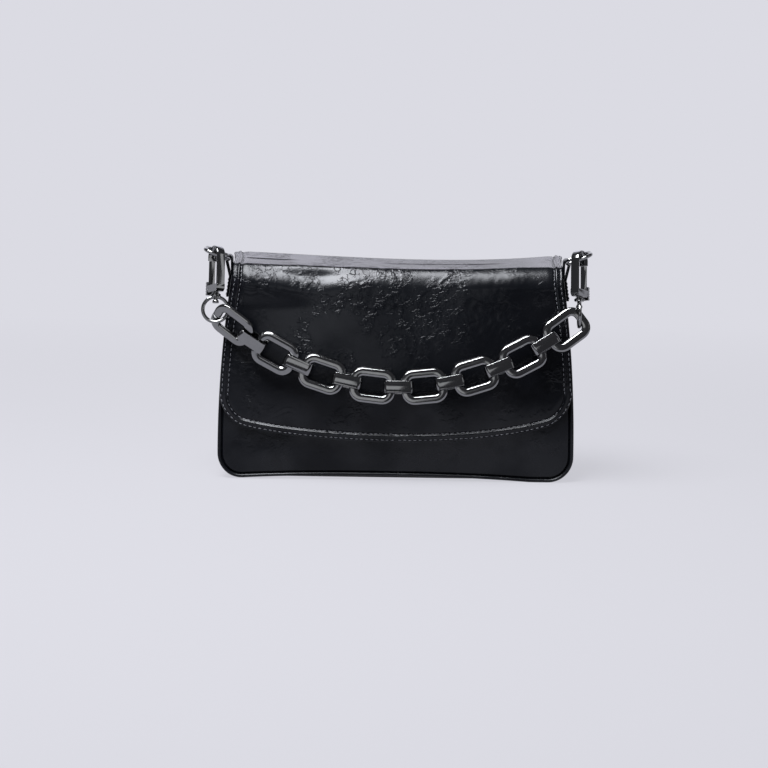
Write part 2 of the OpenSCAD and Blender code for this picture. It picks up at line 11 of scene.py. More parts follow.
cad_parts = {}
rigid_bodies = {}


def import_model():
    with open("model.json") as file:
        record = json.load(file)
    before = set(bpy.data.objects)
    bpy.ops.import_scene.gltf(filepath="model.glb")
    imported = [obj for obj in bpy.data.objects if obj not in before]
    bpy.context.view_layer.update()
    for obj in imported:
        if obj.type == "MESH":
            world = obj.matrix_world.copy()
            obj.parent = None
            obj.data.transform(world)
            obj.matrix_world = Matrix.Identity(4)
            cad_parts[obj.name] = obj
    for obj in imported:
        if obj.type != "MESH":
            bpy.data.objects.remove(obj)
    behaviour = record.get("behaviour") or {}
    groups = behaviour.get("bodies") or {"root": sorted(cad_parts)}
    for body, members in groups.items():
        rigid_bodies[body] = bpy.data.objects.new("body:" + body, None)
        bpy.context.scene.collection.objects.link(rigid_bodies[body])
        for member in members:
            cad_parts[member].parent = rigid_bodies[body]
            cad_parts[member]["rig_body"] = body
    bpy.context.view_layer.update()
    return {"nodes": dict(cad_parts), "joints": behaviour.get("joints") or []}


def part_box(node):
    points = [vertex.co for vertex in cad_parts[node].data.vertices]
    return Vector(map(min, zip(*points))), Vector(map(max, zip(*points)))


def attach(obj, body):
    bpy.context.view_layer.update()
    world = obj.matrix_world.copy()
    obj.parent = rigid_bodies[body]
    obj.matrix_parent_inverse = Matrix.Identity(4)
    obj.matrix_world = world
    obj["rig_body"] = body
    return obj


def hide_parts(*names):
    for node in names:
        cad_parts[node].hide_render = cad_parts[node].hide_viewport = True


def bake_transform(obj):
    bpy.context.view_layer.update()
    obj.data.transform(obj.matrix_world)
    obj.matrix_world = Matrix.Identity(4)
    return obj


bl_info = {
    "name": "Flap bag with chain strap",
    "version": (1, 0, 0),
    "blender": (4, 5, 0),
    "location": "View3D > Sidebar > Flap bag",
    "description": "Builds the leather, stitching, lining and hardware of a flap shoulder bag",
    "category": "Object",
}

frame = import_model()
MM = 0.001
HINGES = {joint["child"]: joint for joint in frame["joints"]}


# Colours and nodes
def linear(hex_colour):
    """An sRGB hex colour as linear red, green, blue and alpha."""
    parts = [int(hex_colour[i:i + 2], 16) / 255 for i in (1, 3, 5)]
    return [c / 12.92 if c <= 0.04045 else ((c + 0.055) / 1.055) ** 2.4 for c in parts] + [1.0]


def drive(tree, node, sources):
    """Links sources to a node's inputs. A source is a socket, or a node that gives its first output."""
    for key, source in sources.items():
        tree.links.new(source.outputs[0] if hasattr(source, "outputs") else source, node.inputs[key])


def add_node(tree, kind, settings=None, links=None):
    """Adds a shader node, sets its properties or socket values, and links sources to its inputs."""
    node = tree.nodes.new("ShaderNode" + kind)
    for key, value in (settings or {}).items():
        if isinstance(key, str) and hasattr(node, key):
            setattr(node, key, value)
        else:
            node.inputs[key].default_value = value
    drive(tree, node, links or {})
    return node


def new_material(name, shader_values):
    """A material with a Principled shader, and its tree, shader and object coordinates."""
    material = bpy.data.materials.new(name)
    material.use_nodes = True
    tree = material.node_tree
    shader = tree.nodes["Principled BSDF"]
    for key, value in shader_values.items():
        shader.inputs[key].default_value = value
    place = add_node(tree, "TexCoord").outputs["Object"]
    return material, tree, shader, place


# The form of the bag, in metres, as the frame holds it
LOW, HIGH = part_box("gusset")
GUSSET_IN = 0.8 * MM
BODY_W = HIGH.x - LOW.x + 2 * GUSSET_IN
BODY_H = HIGH.z
BASE_D = 62 * MM
MOUTH_D = 44 * MM
CORNER_R = 20 * MM
SIDE_DRAW = 10.6 * MM
FRONT_BULGE = 10 * MM
BACK_BULGE = 4 * MM
SWELL_SHARE = 0.85
LEATHER_T = 1.6 * MM
PIPING_R = 1.4 * MM
PANEL_IN = 2.9 * MM
SEAM_GAP = 0.4 * MM
ARCH_H, ARCH_X, ARCH_HALF, ARCH_POWER = 3.4 * MM, -12 * MM, 118 * MM, 2.4
ARCH_REACH, ARCH_FADE = (-8 * MM, 26 * MM), (6 * MM, 52 * MM)
MAGNET_Z = 54 * MM
MAGNET_HOLE_R = 8.2 * MM


def side_x(z, inset=0.0):
    """Half the width of the silhouette at a height."""
    z = max(z, inset)
    if z < CORNER_R:
        r = CORNER_R - inset
        return BODY_W / 2 - CORNER_R + math.sqrt(max(0.0, r * r - (CORNER_R - z) ** 2))
    share = min(1.0, (z - CORNER_R) / (BODY_H - CORNER_R))
    return BODY_W / 2 - inset - SIDE_DRAW * share * share


def seam_y(z):
    """Half the depth between the two seams at a height."""
    return BASE_D / 2 - (BASE_D - MOUTH_D) / 2 * z / BODY_H


def swell(x, z):
    """How much a panel swells at a place, as a share of its bulge."""
    share = min(1.0, max(0.0, z / BODY_H))
    across = x / side_x(max(z, CORNER_R))
    return math.sin(math.pi * share ** SWELL_SHARE) * max(0.0, 1 - across * across)


def front_y(x, z):
    """Outer face of the front panel."""
    return -seam_y(z) - FRONT_BULGE * swell(x, z)


def back_y(x, z):
    """Outer face of the back panel."""
    return seam_y(z) + BACK_BULGE * swell(x, z)


def smooth(value, low, high):
    """Rises smoothly from 0 at low to 1 at high."""
    t = min(1.0, max(0.0, (value - low) / (high - low)))
    return t * t * (3 - 2 * t)


def bell(x, centre, width):
    """A rounded bump of height 1."""
    return math.exp(-((x - centre) / width) ** 2)


def ripple(x, y, size_x, size_y, layer):
    """Smooth noise from -1 to 1 with ripples of the given sizes."""
    return noise.noise(Vector((x / size_x, y / size_y, layer)))


def lifted(p):
    """The bottom arches up a little along the front, between its two resting corners."""
    x, y, z = p
    along = max(0.0, 1 - (abs(x - ARCH_X) / ARCH_HALF) ** ARCH_POWER)
    front = smooth(-y, *ARCH_REACH)
    fade = 1 - smooth(z, *ARCH_FADE)
    return Vector((x, y, z + ARCH_H * along * front * fade))


# Grids. The fine rows are distances from an edge in millimetres
FINE_ROWS = [0, 0.25, 0.6, 1.0, 1.5, 2.0, 2.5, 3.2, 4.0, 4.6, 5.1, 5.6, 6.1, 6.6, 7.0, 7.4, 8.0, 9.0]


def edge_distances(length, step):
    """Distances from an edge: close together near it, then evenly to the given length."""
    fine = [d * MM for d in FINE_ROWS]
    rest = length - fine[-1]
    count = max(2, round(rest / step))
    return fine + [fine[-1] + rest * (i + 1) / count for i in range(count)]


def rounded(a, b, r):
    """Bends the square corner of a grid round a radius. a and b are distances from the two edges."""
    if a >= r or b >= r:
        return a, b
    least = min(a, b)
    turn = 0.5 * (r - b) / (r - a) if a <= b else 1 - 0.5 * (r - a) / (r - b)
    angle = turn * math.pi / 2
    return r - (r - least) * math.cos(angle), r - (r - least) * math.sin(angle)


def mapped_grid(columns, rows, place):
    """A grid whose vertex in column i and row j is moved to place(columns[i], rows[j])."""
    bm = bmesh.new()
    nx, ny = len(columns), len(rows)
    bmesh.ops.create_grid(bm, x_segments=nx - 1, y_segments=ny - 1, size=1)
    for v in bm.verts:
        i = round((v.co.x + 1) / 2 * (nx - 1))
        j = round((v.co.y + 1) / 2 * (ny - 1))
        v.co = place(columns[i], rows[j])
    return bm


def both_sides(distances):
    """Columns from the left edge to the right one: (side, distance from that edge)."""
    left = [(-1, d) for d in distances]
    return left + [(1, d) for d in reversed(distances[:-1])]


def piece(bm, name, slot, body=None, replaces=(), sharp=None, material=None):
    """Makes an object of a bmesh, in the frame's own place and in the finish of its slot."""
    mesh = bpy.data.meshes.new(name)
    bm.to_mesh(mesh)
    bm.free()
    for face in mesh.polygons:
        face.use_smooth = True
    if sharp:
        mesh.set_sharp_from_angle(angle=math.radians(sharp))
    mesh.materials.append(material or finish(slot))
    obj = bpy.data.objects.new(name, mesh)
    bpy.context.scene.collection.objects.link(obj)
    if body:
        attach(obj, body)
    if replaces:
        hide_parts(*replaces)
    return obj


def walled(bm, outward, thickness):
    """Turns the faces of an open sheet outwards and gives it its thickness inwards."""
    bmesh.ops.recalc_face_normals(bm, faces=bm.faces)
    if sum(face.normal.dot(outward) for face in bm.faces) < 0:
        bmesh.ops.reverse_faces(bm, faces=bm.faces)
    bmesh.ops.solidify(bm, geom=bm.faces[:], thickness=thickness)


def cut_hole(bm, x, z, radius):
    """Cuts a round hole through an upright sheet and draws its edge to the circle."""
    inside = [f for f in bm.faces
              if math.hypot(f.calc_center_median().x - x, f.calc_center_median().z - z) < radius]
    bmesh.ops.delete(bm, geom=inside, context="FACES")
    for v in bm.verts:
        reach = math.hypot(v.co.x - x, v.co.z - z)
        if v.is_boundary and reach < 1.5 * radius:
            v.co.x = x + (v.co.x - x) * radius / reach
            v.co.z = z + (v.co.z - z) * radius / reach


def only(geometry, kind):
    """The vertices, edges or faces among mixed geometry."""
    return [g for g in geometry if isinstance(g, kind)]


def stacked(bm, loops):
    """Extrudes a closed loop of points from each loop to the next, and gives its first and last edges."""
    ring = bmesh.ops.create_circle(bm, segments=len(loops[0]), radius=1)["verts"]
    edges = list({e for v in ring for e in v.link_edges})
    first = edges
    for i, loop in enumerate(loops):
        if i:
            grown = bmesh.ops.extrude_edge_only(bm, edges=edges)["geom"]
            ring = only(grown, bmesh.types.BMVert)
            edges = [e for e in only(grown, bmesh.types.BMEdge) if all(v in ring for v in e.verts)]
        for v, point in zip(ring, loop):
            v.co = point
    return first, edges


def swept(bm, profile, stations, closed=False):
    """Carries a closed profile of points (u, w) from station to station, and caps or closes it."""
    loops = [[station @ Vector((u, w, 0)) for u, w in profile] for station in stations]
    first, last = stacked(bm, loops)
    if closed:
        bmesh.ops.bridge_loops(bm, edges=first + last)
    else:
        bmesh.ops.contextual_create(bm, geom=first)
        bmesh.ops.contextual_create(bm, geom=last)
    bmesh.ops.recalc_face_normals(bm, faces=bm.faces)


def round_profile(radius, sides):
    """Points of a circle."""
    return [(radius * math.cos(2 * math.pi * i / sides), radius * math.sin(2 * math.pi * i / sides))
            for i in range(sides)]


def path_stations(points, side):
    """Stations along points, with the profile's first axis kept near a side direction."""
    last = len(points) - 1
    stations = []
    for i, point in enumerate(points):
        along = (points[min(last, i + 1)] - points[max(0, i - 1)]).normalized()
        across = (side - along * side.dot(along)).normalized()
        turn = Matrix((across, along.cross(across), along)).transposed().to_4x4()
        stations.append(Matrix.Translation(point) @ turn)
    return stations


# Flap form. The arcs of the fold are radius, first angle and last angle
FLAP_T = 2.6 * MM
FLAP_GAP = 1.3 * MM
FLAP_LEATHER_T = 1.4 * MM
FLAP_HALF_TOP = 128.6 * MM
FLAP_HALF_LOW = 139.2 * MM
FLAP_LOW_Z = 32 * MM
FLAP_SAG = 12 * MM
FLAP_SKEW = 2.5 * MM
FLAP_CORNER_LIFT = 6 * MM
FLAP_CORNER_R = 21 * MM
ROLL_Z = BODY_H + 1 * MM
BACK_FOLD_R = 4.5 * MM
BACK_FACE_Y = 27.2 * MM
BACK_SPREAD = 2.4 * MM
TOP_Z = BODY_H + 13.6 * MM
TOP_SAG, TOP_SAG_SKEW = 4.6 * MM, 2.4 * MM
FRONT_DROP, FRONT_SAG = 4.7 * MM, 3 * MM
FOLD_Y = -16.4 * MM
FOLD_ARCS = [(4 * MM, math.radians(90), math.radians(48)), (30 * MM, math.radians(48), math.radians(25)),
             (20 * MM, math.radians(25), math.radians(8))]
SWOOP_H, SWOOP_X, SWOOP_W = 4.5 * MM, -66 * MM, 30 * MM
SWOOP_START, SWOOP_END = (0.5 * MM, 7 * MM), (14 * MM, 48 * MM)
HANG_FADE = 60 * MM
MEET_FADE = 20 * MM
STRIP_SAG_FADE = 16 * MM
STRIP_SWELL_START = 8 * MM
SPLIT_Y = 3 * MM
HEM_Z = BODY_H - 26 * MM
BAND = 26 * MM
STITCH_ROWS = [2 * MM, 6.8 * MM]
PROBE = 0.4 * MM


def fold_profile(v):
    """Place (y, z) along the front shoulder, v from the fold, and the length and end of the shoulder."""
    y, z = FOLD_Y, TOP_Z
    for radius, start, stop in FOLD_ARCS:
        length = radius * (start - stop)
        angle = start - max(0.0, min(v, length)) / radius
        y -= radius * (math.cos(angle) - math.cos(start))
        z -= radius * (math.sin(start) - math.sin(angle))
        v -= length
    return y, z, v


FOLD_LENGTH = -fold_profile(0)[2]
FOLD_END = fold_profile(FOLD_LENGTH)
FRONT_MEET = FOLD_END[0] - (front_y(0, FOLD_END[1]) - FLAP_GAP - FLAP_T)
BACK_TOP_Y = BACK_FACE_Y - BACK_FOLD_R
BACK_V = FOLD_Y - BACK_TOP_Y
SPLIT_V = FOLD_Y - SPLIT_Y
HEM_V = BACK_V - BACK_FOLD_R * math.pi / 2 - (TOP_Z - BACK_FOLD_R - HEM_Z)


def spread(v):
    """How far the back of the flap reaches past its front part on each side."""
    return BACK_SPREAD * smooth(v, SPLIT_V, BACK_V)


def flap_half(v):
    """Half the width of the flap's front at a length v."""
    z = FOLD_LENGTH + FOLD_END[1] - v
    rise = max(0.0, z - FLAP_LOW_Z) / (ROLL_Z - FLAP_LOW_Z)
    return FLAP_HALF_LOW - (FLAP_HALF_LOW - FLAP_HALF_TOP) * min(1.0, rise) ** 2


def sag(x):
    """How far the top hangs down between its two stiff ends."""
    e = max(-1.0, min(1.0, x / FLAP_HALF_TOP))
    return (1 - e * e) * (TOP_SAG + TOP_SAG_SKEW * e)


def front_hang(x):
    """How far the front edge of the top lies below the back corners, and hangs down between its ends."""
    e = max(-1.0, min(1.0, x / FLAP_HALF_TOP))
    return FRONT_DROP + FRONT_SAG * (1 - e * e)


def flap_surface(x, v):
    """Outer face of the flap. v runs from the fold: down the front, or back over the top."""
    if v <= BACK_V:
        turn = min(math.pi / 2, (BACK_V - v) / BACK_FOLD_R)
        down = max(0.0, BACK_V - v - BACK_FOLD_R * math.pi / 2)
        y = BACK_TOP_Y + BACK_FOLD_R * math.sin(turn)
        z = TOP_Z - BACK_FOLD_R * (1 - math.cos(turn)) - down
        fade = 1 - smooth(down, 0, STRIP_SAG_FADE)
        bulge = BACK_BULGE * swell(x, min(z, BODY_H)) * smooth(down, 0, STRIP_SWELL_START)
        return Vector((x, y + bulge, z - sag(x) * fade))
    if v <= 0:
        share = 1 - v / BACK_V
        return Vector((x, FOLD_Y - v, TOP_Z - sag(x) * (1 - share) - front_hang(x) * share))
    y, z, rest = fold_profile(v)
    dip = smooth(v, *SWOOP_START) * (1 - smooth(v, *SWOOP_END))
    hang = front_hang(x) + SWOOP_H * bell(x, SWOOP_X, SWOOP_W) * dip
    if rest > 0:
        z -= rest
        hang *= 1 - smooth(rest, 0, HANG_FADE)
        own = front_y(x * BODY_W / (2 * FLAP_HALF_LOW), min(z, BODY_H)) - FLAP_GAP - FLAP_T
        y = own + FRONT_MEET * (1 - smooth(rest, 0, MEET_FADE))
    return Vector((x, y, z - hang))


def low_rise(x):
    """How much higher the lower edge is than at its middle. It rises more towards the right."""
    s = x / FLAP_HALF_LOW
    return (FLAP_SAG + FLAP_SKEW * s) * s * s + FLAP_CORNER_LIFT * s ** 6


def low_edge_v(x):
    """Length v of the lower edge."""
    return FOLD_LENGTH + FOLD_END[1] - FLAP_LOW_Z - low_rise(x)


def across_at(side, a, half, nominal):
    """Place across the flap for a column: a fixed distance near the edge, then in proportion."""
    if a <= BAND:
        return side * (half - a)
    return side * (half - BAND) * (nominal - a) / (nominal - BAND)


def on_sheet(surface, x, v, h):
    """A point at height h over a surface, along its normal."""
    point = surface(x, v)
    down = surface(x, v + PROBE) - surface(x, v - PROBE)
    normal = down.cross(surface(x + PROBE, v) - surface(x - PROBE, v))
    return point + normal.normalized() * h


# Long creases on the flap, all in millimetres: places across and down from the fold, and their section
CREASE_REACH, CREASE_WANDER, CREASE_WAVE, CREASE_MOST = 5, 2.2, 6, 0.5
RIDGE_RISE, RIDGE_PLACE = 0.16, (0.9, 0.8)
VALLEY_FALL, VALLEY_PLACE = 0.2, (-0.4, 0.6)
CREASES = [
    [(0, 52), (12, 46), (20, 40), (30, 36), (34, 28), (44, 16)],
    [(12, 30), (22, 22), (34, 14), (42, 8)],
    [(-118, 26), (-106, 24), (-96, 28)],
    [(-60, 24), (-44, 22), (-36, 14), (-24, 12)],
    [(-38, 8), (-30, 20), (-12, 26), (2, 24)],
    [(22, 62), (36, 54), (52, 52), (66, 44)],
    [(-30, 34), (-8, 38), (8, 33)],
    [(-98, 128), (-84, 122), (-78, 124)],
    [(58, 26), (70, 32), (84, 30), (96, 36)],
]


def crease_depth(x, v):
    """Height of the long creases: a fine valley beside a soft ridge."""
    total = 0.0
    px, pv = x / MM, v / MM
    wander = CREASE_WANDER * ripple(px, pv, CREASE_WAVE, CREASE_WAVE, 3.1)
    for line in CREASES:
        for (x0, v0), (x1, v1) in zip(line, line[1:]):
            beside = px < min(x0, x1) - CREASE_REACH or px > max(x0, x1) + CREASE_REACH
            if beside or pv < min(v0, v1) - CREASE_REACH or pv > max(v0, v1) + CREASE_REACH:
                continue
            dx, dv = x1 - x0, v1 - v0
            length = math.hypot(dx, dv)
            t = ((px - x0) * dx + (pv - v0) * dv) / length ** 2
            if -0.05 < t < 1.05:
                d = ((px - x0) * dv - (pv - v0) * dx) / length + wander
                total += RIDGE_RISE * bell(d, *RIDGE_PLACE) - VALLEY_FALL * bell(d, *VALLEY_PLACE)
    return max(-CREASE_MOST, min(CREASE_MOST, total)) * MM


# Relief of the flap's leather: its edge and border, then the soft waves of its middle
EDGE_DROP, EDGE_SPAN = 1 * MM, (-0.3 * MM, 1.1 * MM)
ROW_DIP, ROW_DIP_W = 0.3 * MM, 0.45 * MM
BORDER_H, BORDER_PLACE = 0.95 * MM, (5 * MM, 1.1 * MM)
GROOVE_DIP, GROOVE_W = 0.65 * MM, 0.6 * MM
MIDDLE_H, MIDDLE_SPAN = 0.5 * MM, (7 * MM, 12 * MM)
WAVE_H, WAVES = 0.9 * MM, (46 * MM, 38 * MM, 0.7)
PUFF_H, PUFF_ROWS = 0.9 * MM, (14 * MM, 13 * MM)
PUFF_PLACE, HOLLOW_PLACE = (-38 * MM, 16 * MM), (22 * MM, 30 * MM)
RUFFLE_H, RUFFLES, RUFFLE_PATCHES = 0.16 * MM, (5.5 * MM, 7 * MM, 1.4), (30 * MM, 26 * MM, 5.2)
RUFFLE_ROWS, RUFFLE_LEAST_SHARE = (34 * MM, 40 * MM), 0.25


def flap_height(x, v, m):
    """Height of the flap's leather over its plain form. m is the distance from the edge."""
    h = -EDGE_DROP * (1 - smooth(m, *EDGE_SPAN))
    h -= ROW_DIP * bell(m, STITCH_ROWS[0], ROW_DIP_W)
    h += BORDER_H * bell(m, *BORDER_PLACE)
    h -= GROOVE_DIP * bell(m, STITCH_ROWS[1], GROOVE_W)
    inner = smooth(m, *MIDDLE_SPAN)
    h += MIDDLE_H * inner
    if inner > 0 and v > SPLIT_V:
        h += inner * WAVE_H * ripple(x, v, *WAVES)
        h += inner * PUFF_H * bell(v, *PUFF_ROWS) * (bell(x, *PUFF_PLACE) - bell(x, *HOLLOW_PLACE))
        patch = smooth(ripple(x, v, *RUFFLE_PATCHES), -0.15, 0.5)
        ridged = 1 - abs(ripple(x, v, *RUFFLES)) * 2
        h += inner * RUFFLE_H * ridged * patch * (RUFFLE_LEAST_SHARE + bell(v, *RUFFLE_ROWS))
        h += inner * crease_depth(x, v)
    return h


# Materials. The wave texture repeats every tau / 20 of its own unit
FLEXED = (-5 * MM, -30 * MM, 138 * MM)
WAVE_UNIT = math.tau / 20


def crinkle_bump(tree, place, strength, seed):
    """Bump of coated leather: pores 0.9 mm apart, which is coarser than real ones so that they show,
    thin folds 7 mm apart, and where it flexes a broken net of crinkles 4.2 mm apart."""
    shift = add_node(tree, "Mapping", {"Location": (seed, seed, seed)}, {"Vector": place})
    moved = {"Vector": shift}
    warp = add_node(tree, "TexNoise", {"Scale": 1 / (6.667 * MM), "Detail": 4.0}, moved)
    pull = add_node(tree, "VectorMath", {"operation": "MULTIPLY_ADD", 1: (8 * MM, 8 * MM, 5 * MM)},
                    {0: warp.outputs["Color"], 2: shift})
    pulled = {"Vector": pull}
    cells = add_node(tree, "TexVoronoi",
                     {"feature": "DISTANCE_TO_EDGE", "Scale": 1 / (4.2 * MM)}, pulled)
    lines = add_node(tree, "MapRange", {"From Min": 0.0, "From Max": 0.07},
                     {"Value": cells})
    patches = add_node(tree, "TexNoise", {"Scale": 1 / (25 * MM), "Detail": 3.0}, moved)
    reach = add_node(tree, "VectorMath", {"operation": "DISTANCE", 1: FLEXED}, {0: place})
    flexed = add_node(tree, "MapRange",
                      {"From Min": 10 * MM, "From Max": 110 * MM, "To Min": 0.1, "To Max": -0.04},
                      {"Value": reach.outputs["Value"]})
    likely = add_node(tree, "Math", {"operation": "ADD"},
                      {0: patches, 1: flexed})
    mask = add_node(tree, "MapRange", {"From Min": 0.47, "From Max": 0.7},
                    {"Value": likely})
    broken = add_node(tree, "TexNoise", {"Scale": 1 / (6 * MM), "Detail": 2.0}, moved)
    gaps = add_node(tree, "MapRange", {"From Min": 0.42, "From Max": 0.56},
                    {"Value": broken})
    shown = add_node(tree, "Math", {"operation": "MULTIPLY"},
                     {0: gaps, 1: mask})
    net = add_node(tree, "Math", {"operation": "MULTIPLY"},
                   {0: lines, 1: shown})
    folds = add_node(tree, "TexNoise", {"noise_type": "RIDGED_MULTIFRACTAL", "Scale": 1 / (7 * MM),
                                        "Detail": 3.0, "Lacunarity": 2.3}, pulled)
    grain = add_node(tree, "TexNoise", {"Scale": 1 / (0.9 * MM), "Detail": 3.0}, moved)
    bump = add_node(tree, "Bump", {"Strength": strength, "Distance": 0.5 * MM},
                    {"Height": net})
    thin = add_node(tree, "Bump", {"Strength": strength, "Distance": 0.09 * MM},
                    {"Height": folds, "Normal": bump})
    return add_node(tree, "Bump", {"Strength": 0.2, "Distance": 0.04 * MM},
                    {"Height": grain, "Normal": thin})


def shade(colour, share):
    """A colour made lighter or darker by a share."""
    return [part * share for part in colour[:3]] + [1]


def coated_leather(name, colour, roughness, strength, seed):
    """Cow split with a pressed polyurethane film, glazed: near black, with a cool gloss that comes
    and goes in soft patches 45 mm apart, and crinkles that catch the light where it has been flexed."""
    material, tree, shader, place = new_material(name, {"IOR": 1.46, "Specular Tint": linear("#F5F8FF")})
    cloud = add_node(tree, "TexNoise", {"Scale": 1 / (45.45 * MM), "Detail": 4.0}, {"Vector": place})
    tint = add_node(tree, "Mix", {"data_type": "RGBA", 6: colour, 7: shade(colour, 1.7)},
                    {0: cloud})
    gloss = add_node(tree, "MapRange", {"To Min": roughness - 0.05, "To Max": roughness + 0.07},
                     {"Value": cloud})
    level = add_node(tree, "MapRange",
                     {"From Min": 0.4, "From Max": 0.62, "To Min": 0.19, "To Max": 0.33},
                     {"Value": cloud})
    bump = crinkle_bump(tree, place, strength, seed)
    drive(tree, shader, {"Base Color": tint.outputs[2], "Roughness": gloss,
                         "Specular IOR Level": level, "Normal": bump})
    return material


def woven_lining(name, colour):
    """Polyester twill: matt charcoal with a fine diagonal line every 0.8 mm."""
    material, tree, shader, place = new_material(
        name, {"Roughness": 0.85, "Sheen Weight": 0.25, "Sheen Roughness": 0.5})
    turn = add_node(tree, "Mapping", {"Rotation": (0, math.radians(45), 0)}, {"Vector": place})
    twill = add_node(tree, "TexWave", {"Scale": WAVE_UNIT / (0.785 * MM), "Distortion": 0.4},
                     {"Vector": turn})
    tint = add_node(tree, "Mix", {"data_type": "RGBA", 6: shade(colour, 0.7), 7: colour},
                    {0: twill.outputs["Fac"]})
    bump = add_node(tree, "Bump", {"Strength": 0.5, "Distance": 0.1 * MM},
                    {"Height": twill.outputs["Fac"]})
    drive(tree, shader, {"Base Color": tint.outputs[2], "Normal": bump})
    return material


def plated_metal(name, colour, roughness):
    """Die-cast zinc with polished black-nickel plating: a dark mirror with faint tumbling marks
    about 4 mm apart."""
    material, tree, shader, place = new_material(name, {"Metallic": 1.0})
    marks = add_node(tree, "TexNoise", {"Scale": 1 / (4.167 * MM), "Detail": 5.0}, {"Vector": place})
    gloss = add_node(tree, "MapRange", {"To Min": roughness - 0.04, "To Max": roughness + 0.07},
                     {"Value": marks})
    tint = add_node(tree, "Mix", {"data_type": "RGBA", 6: colour, 7: shade(colour, 0.82)},
                    {0: marks})
    bump = add_node(tree, "Bump", {"Strength": 0.04, "Distance": 0.05 * MM},
                    {"Height": marks})
    drive(tree, shader, {"Base Color": tint.outputs[2], "Roughness": gloss,
                         "Normal": bump})
    return material


def sewing_thread(name, colour):
    """Bonded polyester thread: two plies twisted, a turn every 0.35 mm, with a waxed sheen."""
    material, tree, shader, place = new_material(name, {"Roughness": 0.42, "Sheen Weight": 0.3})
    plies = add_node(tree, "TexWave", {"Scale": WAVE_UNIT / (0.349 * MM), "bands_direction": "DIAGONAL"},
                     {"Vector": place})
    tint = add_node(tree, "Mix", {"data_type": "RGBA", 6: shade(colour, 0.6), 7: colour},
                    {0: plies.outputs["Fac"]})
    drive(tree, shader, {"Base Color": tint.outputs[2]})
    return material


def pressed_board(name, colour):
    """Grey bookbinder's board: matt, with fibres 1.4 mm long."""
    material, tree, shader, place = new_material(name, {"Roughness": 0.9})
    fibres = add_node(tree, "TexNoise", {"Scale": 1 / (1.43 * MM), "Detail": 6.0}, {"Vector": place})
    tint = add_node(tree, "Mix", {"data_type": "RGBA", 6: shade(colour, 0.7), 7: colour},
                    {0: fibres})
    drive(tree, shader, {"Base Color": tint.outputs[2]})
    return material


def studio_paper(name, colour):
    """Matt background paper: it keeps the shadow on the floor, and is evenly pale further up."""
    material, tree, shader, place = new_material(
        name, {"Roughness": 1.0, "Specular IOR Level": 0.0, "Base Color": shade(colour, PAPER_SHARE)})
    rays = add_node(tree, "LightPath")
    seen = rays.outputs["Is Camera Ray"]
    for kind in ("Is Glossy Ray", "Is Transmission Ray"):
        both = add_node(tree, "Math", {"operation": "ADD", "use_clamp": True},
                        {0: seen, 1: rays.outputs[kind]})
        seen = both
    parts = add_node(tree, "SeparateXYZ", None, {0: place})
    far = add_node(tree, "MapRange",
                   {"From Min": GLOW_START_Y, "From Max": GLOW_END_Y, "To Min": FLOOR_GLOW, "To Max": 1.0},
                   {"Value": parts.outputs["Y"]})
    share = add_node(tree, "Math", {"operation": "MULTIPLY"}, {0: seen, 1: far})
    glow = add_node(tree, "Emission", {"Color": colour, "Strength": 1.0})
    mix = add_node(tree, "MixShader", None,
                   {0: share, 1: shader, 2: glow})
    drive(tree, tree.nodes["Material Output"], {"Surface": mix})
    return material


# Finish of each slot: the material, its colour or the name of a colour setting, and its own values,
# which are roughness, then strength of the crinkles and shift of their pattern for leather
BLACK_NICKEL = (plated_metal, "metal", 0.1)
FINISHES = {
    "body_leather": (coated_leather, "leather", 0.25, 0.5, 1.7),
    "flap_leather": (coated_leather, "leather", 0.22, 0.55, 0.0),
    "edge_leather": (coated_leather, "leather", 0.28, 0.3, 3.1),
    "lining_cloth": (woven_lining, "lining"),
    "board": (pressed_board, "#3A3A3C"),
    "thread": (sewing_thread, "thread"),
    "magnet_steel": (plated_metal, "#9A9C9F", 0.3),
    "spring_steel": (plated_metal, "#B0B0B0", 0.25),
    "pin_steel": (plated_metal, "#8A8C8F", 0.22),
    "link_metal": BLACK_NICKEL,
    "connector_metal": (plated_metal, "metal", 0.09),
    "hook_metal": BLACK_NICKEL,
    "ring_metal": BLACK_NICKEL,
}


def finish(slot):
    """The finish of a material slot, made once."""
    name = slot + "_finish"
    if name in bpy.data.materials:
        return bpy.data.materials[name]
    maker, tone, *values = FINISHES[slot]
    if tone.startswith("#"):
        return maker(name, linear(tone), *values)
    return maker(name, [*getattr(bpy.context.scene.handbag_colours, tone), 1], *values)


# Settings
def length_setting(name, description, default, least, most):
    """A setting that is a length."""
    return FloatProperty(name=name, description=description, default=default,
                         min=least, max=most, unit="LENGTH")


def colour_setting(name, description, hex_colour):
    """A setting that is a colour."""
    return FloatVectorProperty(name=name, description=description, default=linear(hex_colour)[:3],
                               min=0, max=1, subtype="COLOR")


class HandbagSizes(bpy.types.PropertyGroup):
    """Sizes of the finish that a user may change."""
    grid_step: length_setting("Mesh step", "Distance between the rows of the leather's mesh",
                              1.2 * MM, 0.8 * MM, 6 * MM)
    stitch_pitch: length_setting("Stitch pitch", "Distance from one stitch to the next",
                                 4 * MM, 2.5 * MM, 6 * MM)
    thread_r: length_setting("Thread radius", "Radius of the sewing thread", 0.35 * MM, 0.15 * MM, 0.5 * MM)
    edge_round: length_setting("Edge rounding", "Rounding of the edges of the metal",
                               0.2 * MM, 0.05 * MM, 0.4 * MM)


class HandbagColours(bpy.types.PropertyGroup):
    """Colours of the bag and of the studio."""
    leather: colour_setting("Leather", "Colour of the coated leather", "#06070A")
    lining: colour_setting("Lining", "Colour of the woven lining", "#2A2A30")
    thread: colour_setting("Thread", "Colour of the stitches", "#55575F")
    metal: colour_setting("Metal", "Colour of the plated metal", "#868789")
    paper: colour_setting("Paper", "Colour of the floor and backdrop", "#DBDBE3")


